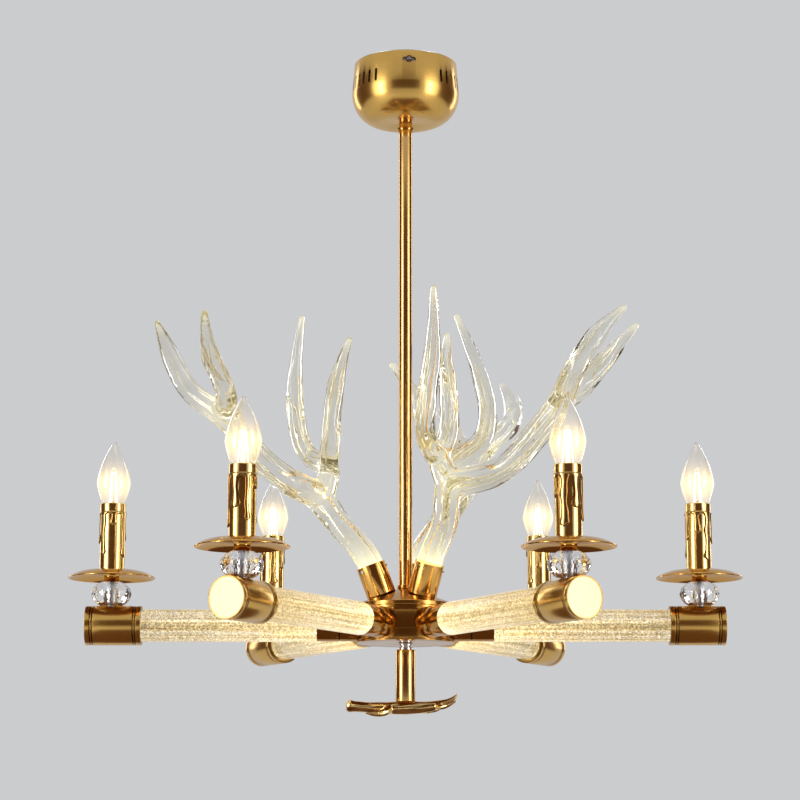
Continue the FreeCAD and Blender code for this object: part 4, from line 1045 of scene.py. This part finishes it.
def filament_mesh():
    """Upright glowing threads between two wire stars."""
    lumps = []
    low, height = CAP_TOP_Z + 9, 34
    for index in range(4):
        angle = 2 * math.pi * (index + 0.5) / 4
        rows = []
        for t in np.linspace(0, 1, 14):
            reach = 5.2 - 2.6 * t
            width = 0.34 + 0.42 * math.exp(-(((t - 0.62) / 0.30) ** 2))
            rows.append([*polar(reach, angle, low + height * t), width])
        lumps.append(limb_mesh(np.array(rows), 12))
        for z, reach in ((low, 5.2), (low + height, 2.6)):
            across = np.array([reach * math.cos(angle), reach * math.sin(angle)])
            rows = [[*(across * t), z + 0.8 * (1 - t), 0.25] for t in np.linspace(0.05, 1, 6)]
            lumps.append(limb_mesh(np.array(rows), 8))
    return mesh_from("threads", *merged(lumps), sharp=0)


def mount_mesh():
    outline = [(0, CAP_TOP_Z + 0.2), (5.6, CAP_TOP_Z + 0.2), (4.2, CAP_TOP_Z + 3), (2.6, CAP_TOP_Z + 7)]
    outline += [(2.2, CAP_TOP_Z + 11), (2.6, CAP_TOP_Z + 13), (0, CAP_TOP_Z + 14)]
    return lathe("mount", softened(outline, 0.8, 3, closed=False), 40, closed=False, sharp=0)


def neck_mesh():
    outline = [(5.0, NECK_Z)]
    for step in range(13):
        t = step / 12
        outline.append((10 - 2.5 * math.sin(math.pi * t) ** 0.8, NECK_Z + NECK_HEIGHT * t))
    return lathe("neck", outline + [(5.0, NECK_Z + NECK_HEIGHT)], 72)


def build_candles():
    meshes = {
        "bead": (bead_mesh(), BEAD_CLEAR, "crystal_glass", "crystal_beads"),
        "neck": (neck_mesh(), PAN_BRASS, "brass_satin", "bead_necks"),
        "pan": (pan_mesh(), PAN_BRASS, "brass_satin", "drip_pans"),
    }
    moving = {
        "sleeve": (sleeve_mesh(), SLEEVE_BRASS, "brass_gloss", "candle_sleeve_{}", "sleeve_{}"),
        "screw_cap": (screw_cap_mesh(), CAP_METAL, "chrome", "bulb_cap_{}", "cap_{}"),
        "bulb_skin": (bulb_mesh(), BULB_CLEAR, "bulb_glass", "bulb_glass_{}", "bulb_{}"),
        "threads": (filament_mesh(), THREAD_GLOW, "filament", "bulb_filament_{}", "bulb_{}"),
        "mount": (mount_mesh(), BULB_CLEAR, "bulb_glass", "bulb_filament_{}", "bulb_{}"),
    }
    for index in range(ARMS):
        number, where = index + 1, candle_frame(index)
        for name, (mesh, material, slot, node) in meshes.items():
            spot = where @ Matrix.Translation(mm(0, 0, BEAD_Z)) if name == "bead" else where
            place(f"{name}_{number}", mesh, spot, material, slot, [node])
        for name, (mesh, material, slot, node, body) in moving.items():
            nodes = [node.format(number)]
            place(f"{name}_{number}", mesh, where, material, slot, nodes, body.format(number))


build_canopy()
build_rod()
build_hub()
build_sockets()
build_antlers()
build_finial()
build_arms()
build_candles()

# --- Finishes of the CAD nodes that stay ---

KEPT = (
    (ZINC, "ceiling_bracket canopy_tube tube_nuts hub_tube arm_tie_tubes"),
    (ZINC, "arm_tie_nuts candle_tubes finial_stud"),
    (CHROME, "canopy_side_screws antler_set_screws"),
    (WHITE_PLASTIC, "led_driver terminal_block"),
    (LAMP_BOARD, "antler_led_boards arm_led_boards end_led_boards"),
    (DARK_PLASTIC, "lamp_holders"),
)
for material, nodes in KEPT:
    for node in nodes.split():
        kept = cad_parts[node]
        kept.data.materials.clear()
        kept.data.materials.append(material)

# --- Floor, light and camera ---

FLOOR_Z = -1.1
PALE = (0.60, 0.605, 0.62, 1.0)
FADE = (1.2, 4.0)
FLOOR_RINGS = (60000.0, 8000.0, 2000.0, 0.0)


def build_stage():
    """A wide pale floor that fades into the colour of the surroundings away from the lamp."""
    mesh = lathe("floor", [(radius, 0.0) for radius in FLOOR_RINGS], closed=False)
    floor = bpy.data.objects.new("floor", mesh)
    floor.location.z = FLOOR_Z
    scene.collection.objects.link(floor)
    shader = Shader("pale_floor")
    mottle = shader.noise(shader.local(), 6.0)
    tone = shader.ramp(mottle, (0.3, (0.66, 0.665, 0.68)), (0.7, (0.69, 0.695, 0.71)))
    shader.look(Base_Color=tone, Roughness=0.7)
    place_x, place_y, _ = shader.add("SeparateXYZ", shader.local(1, 1, 0)).outputs
    squared = shader.maths("MULTIPLY_ADD", place_y, place_y, shader.maths("MULTIPLY", place_x, place_x))
    distance = shader.maths("SQRT", squared)
    fade = shader.add("MapRange", distance, *FADE, 0.0, 1.0, interpolation_type="SMOOTHSTEP").outputs[0]
    haze = shader.add("Emission", PALE, 1.0).outputs[0]
    blend = shader.add("MixShader", fade, shader.principled.outputs[0], haze).outputs[0]
    shader.feed(shader.output.inputs["Surface"], blend)
    mesh.materials.append(shader.material)
    world = bpy.data.worlds.new("studio")
    world.use_nodes = True
    background = world.node_tree.nodes["Background"]
    background.inputs[0].default_value = PALE
    background.inputs[1].default_value = 1.0
    scene.world = world


def aimed(name, data, position, target):
    """Puts a lamp or a mesh at a place, facing the target; the camera doesn't see it."""
    thing = bpy.data.objects.new(name, data)
    thing.location = position
    thing.rotation_euler = (Vector(target) - Vector(position)).to_track_quat("-Z", "Y").to_euler()
    thing.visible_camera = False
    scene.collection.objects.link(thing)
    return thing


def softbox(name, position, target, width, height, radiance, tone=(1.0, 0.97, 0.92)):
    """A rectangular lamp of the given radiance."""
    light = bpy.data.lights.new(name, "AREA")
    light.shape = "RECTANGLE"
    light.size, light.size_y = width, height
    light.energy = radiance * math.pi * width * height
    light.color = tone
    aimed(name, light, position, target)


def dark_card(name, position, target, width, height):
    """A dark brown card, as photographers put beside metal; only reflections and glass show it, so it
    paints dark reflections into them.
    """
    mesh = bpy.data.meshes.new(name)
    w, h = width / 2, height / 2
    mesh.from_pydata([(-w, -h, 0), (w, -h, 0), (w, h, 0), (-w, h, 0)], [], [(0, 1, 2, 3)])
    shader = Shader(name)
    shader.look(Base_Color=(0.135, 0.065, 0.035, 1.0), Roughness=1.0)
    mesh.materials.append(shader.material)
    card = aimed(name, mesh, position, target)
    card.visible_diffuse = False
    card.visible_shadow = False


def build_lights():
    heart = (0.0, 0.0, -0.4)
    softbox("strip_left", (-2.05, -1.3, -0.15), heart, 1.3, 2.2, 1.5)
    softbox("strip_right", (2.05, -1.3, -0.15), heart, 1.3, 2.2, 1.3)
    softbox("core_left", (-1.85, -1.35, -0.15), heart, 0.30, 1.5, 8.5)
    softbox("core_right", (1.85, -1.35, -0.15), heart, 0.30, 1.5, 7.5)
    softbox("top_box", (0.0, -0.4, 1.5), heart, 1.2, 1.0, 1.6)
    for name, x in (("back_left", -1.7), ("back_right", 1.7)):
        softbox(name, (x, 1.7, 0.2), heart, 0.35, 1.6, 3.0, (1.0, 0.98, 0.96))
    dark_card("card_front", (0.0, -4.2, -0.3), heart, 5.0, 4.0)
    for name, x in (("card_left", -3.0), ("card_right", 3.0)):
        dark_card(name, (x, 0.7, -0.3), heart, 3.0, 3.6)
    dark_card("card_low", (0.0, -0.3, FLOOR_Z + 0.02), (0.0, -0.3, 0.0), 1.3, 1.3)


def build_camera():
    data = bpy.data.cameras.new("camera")
    data.lens = 111.3
    data.sensor_width = 36.0
    data.shift_x = -0.0069
    camera = bpy.data.objects.new("camera", data)
    camera.location = (0.0, -2.517, -0.827)
    camera.rotation_euler = (math.radians(100.48), 0.0, 0.0)
    scene.collection.objects.link(camera)
    scene.camera = camera


build_stage()
build_lights()
build_camera()
scene.view_settings.view_transform = "Standard"
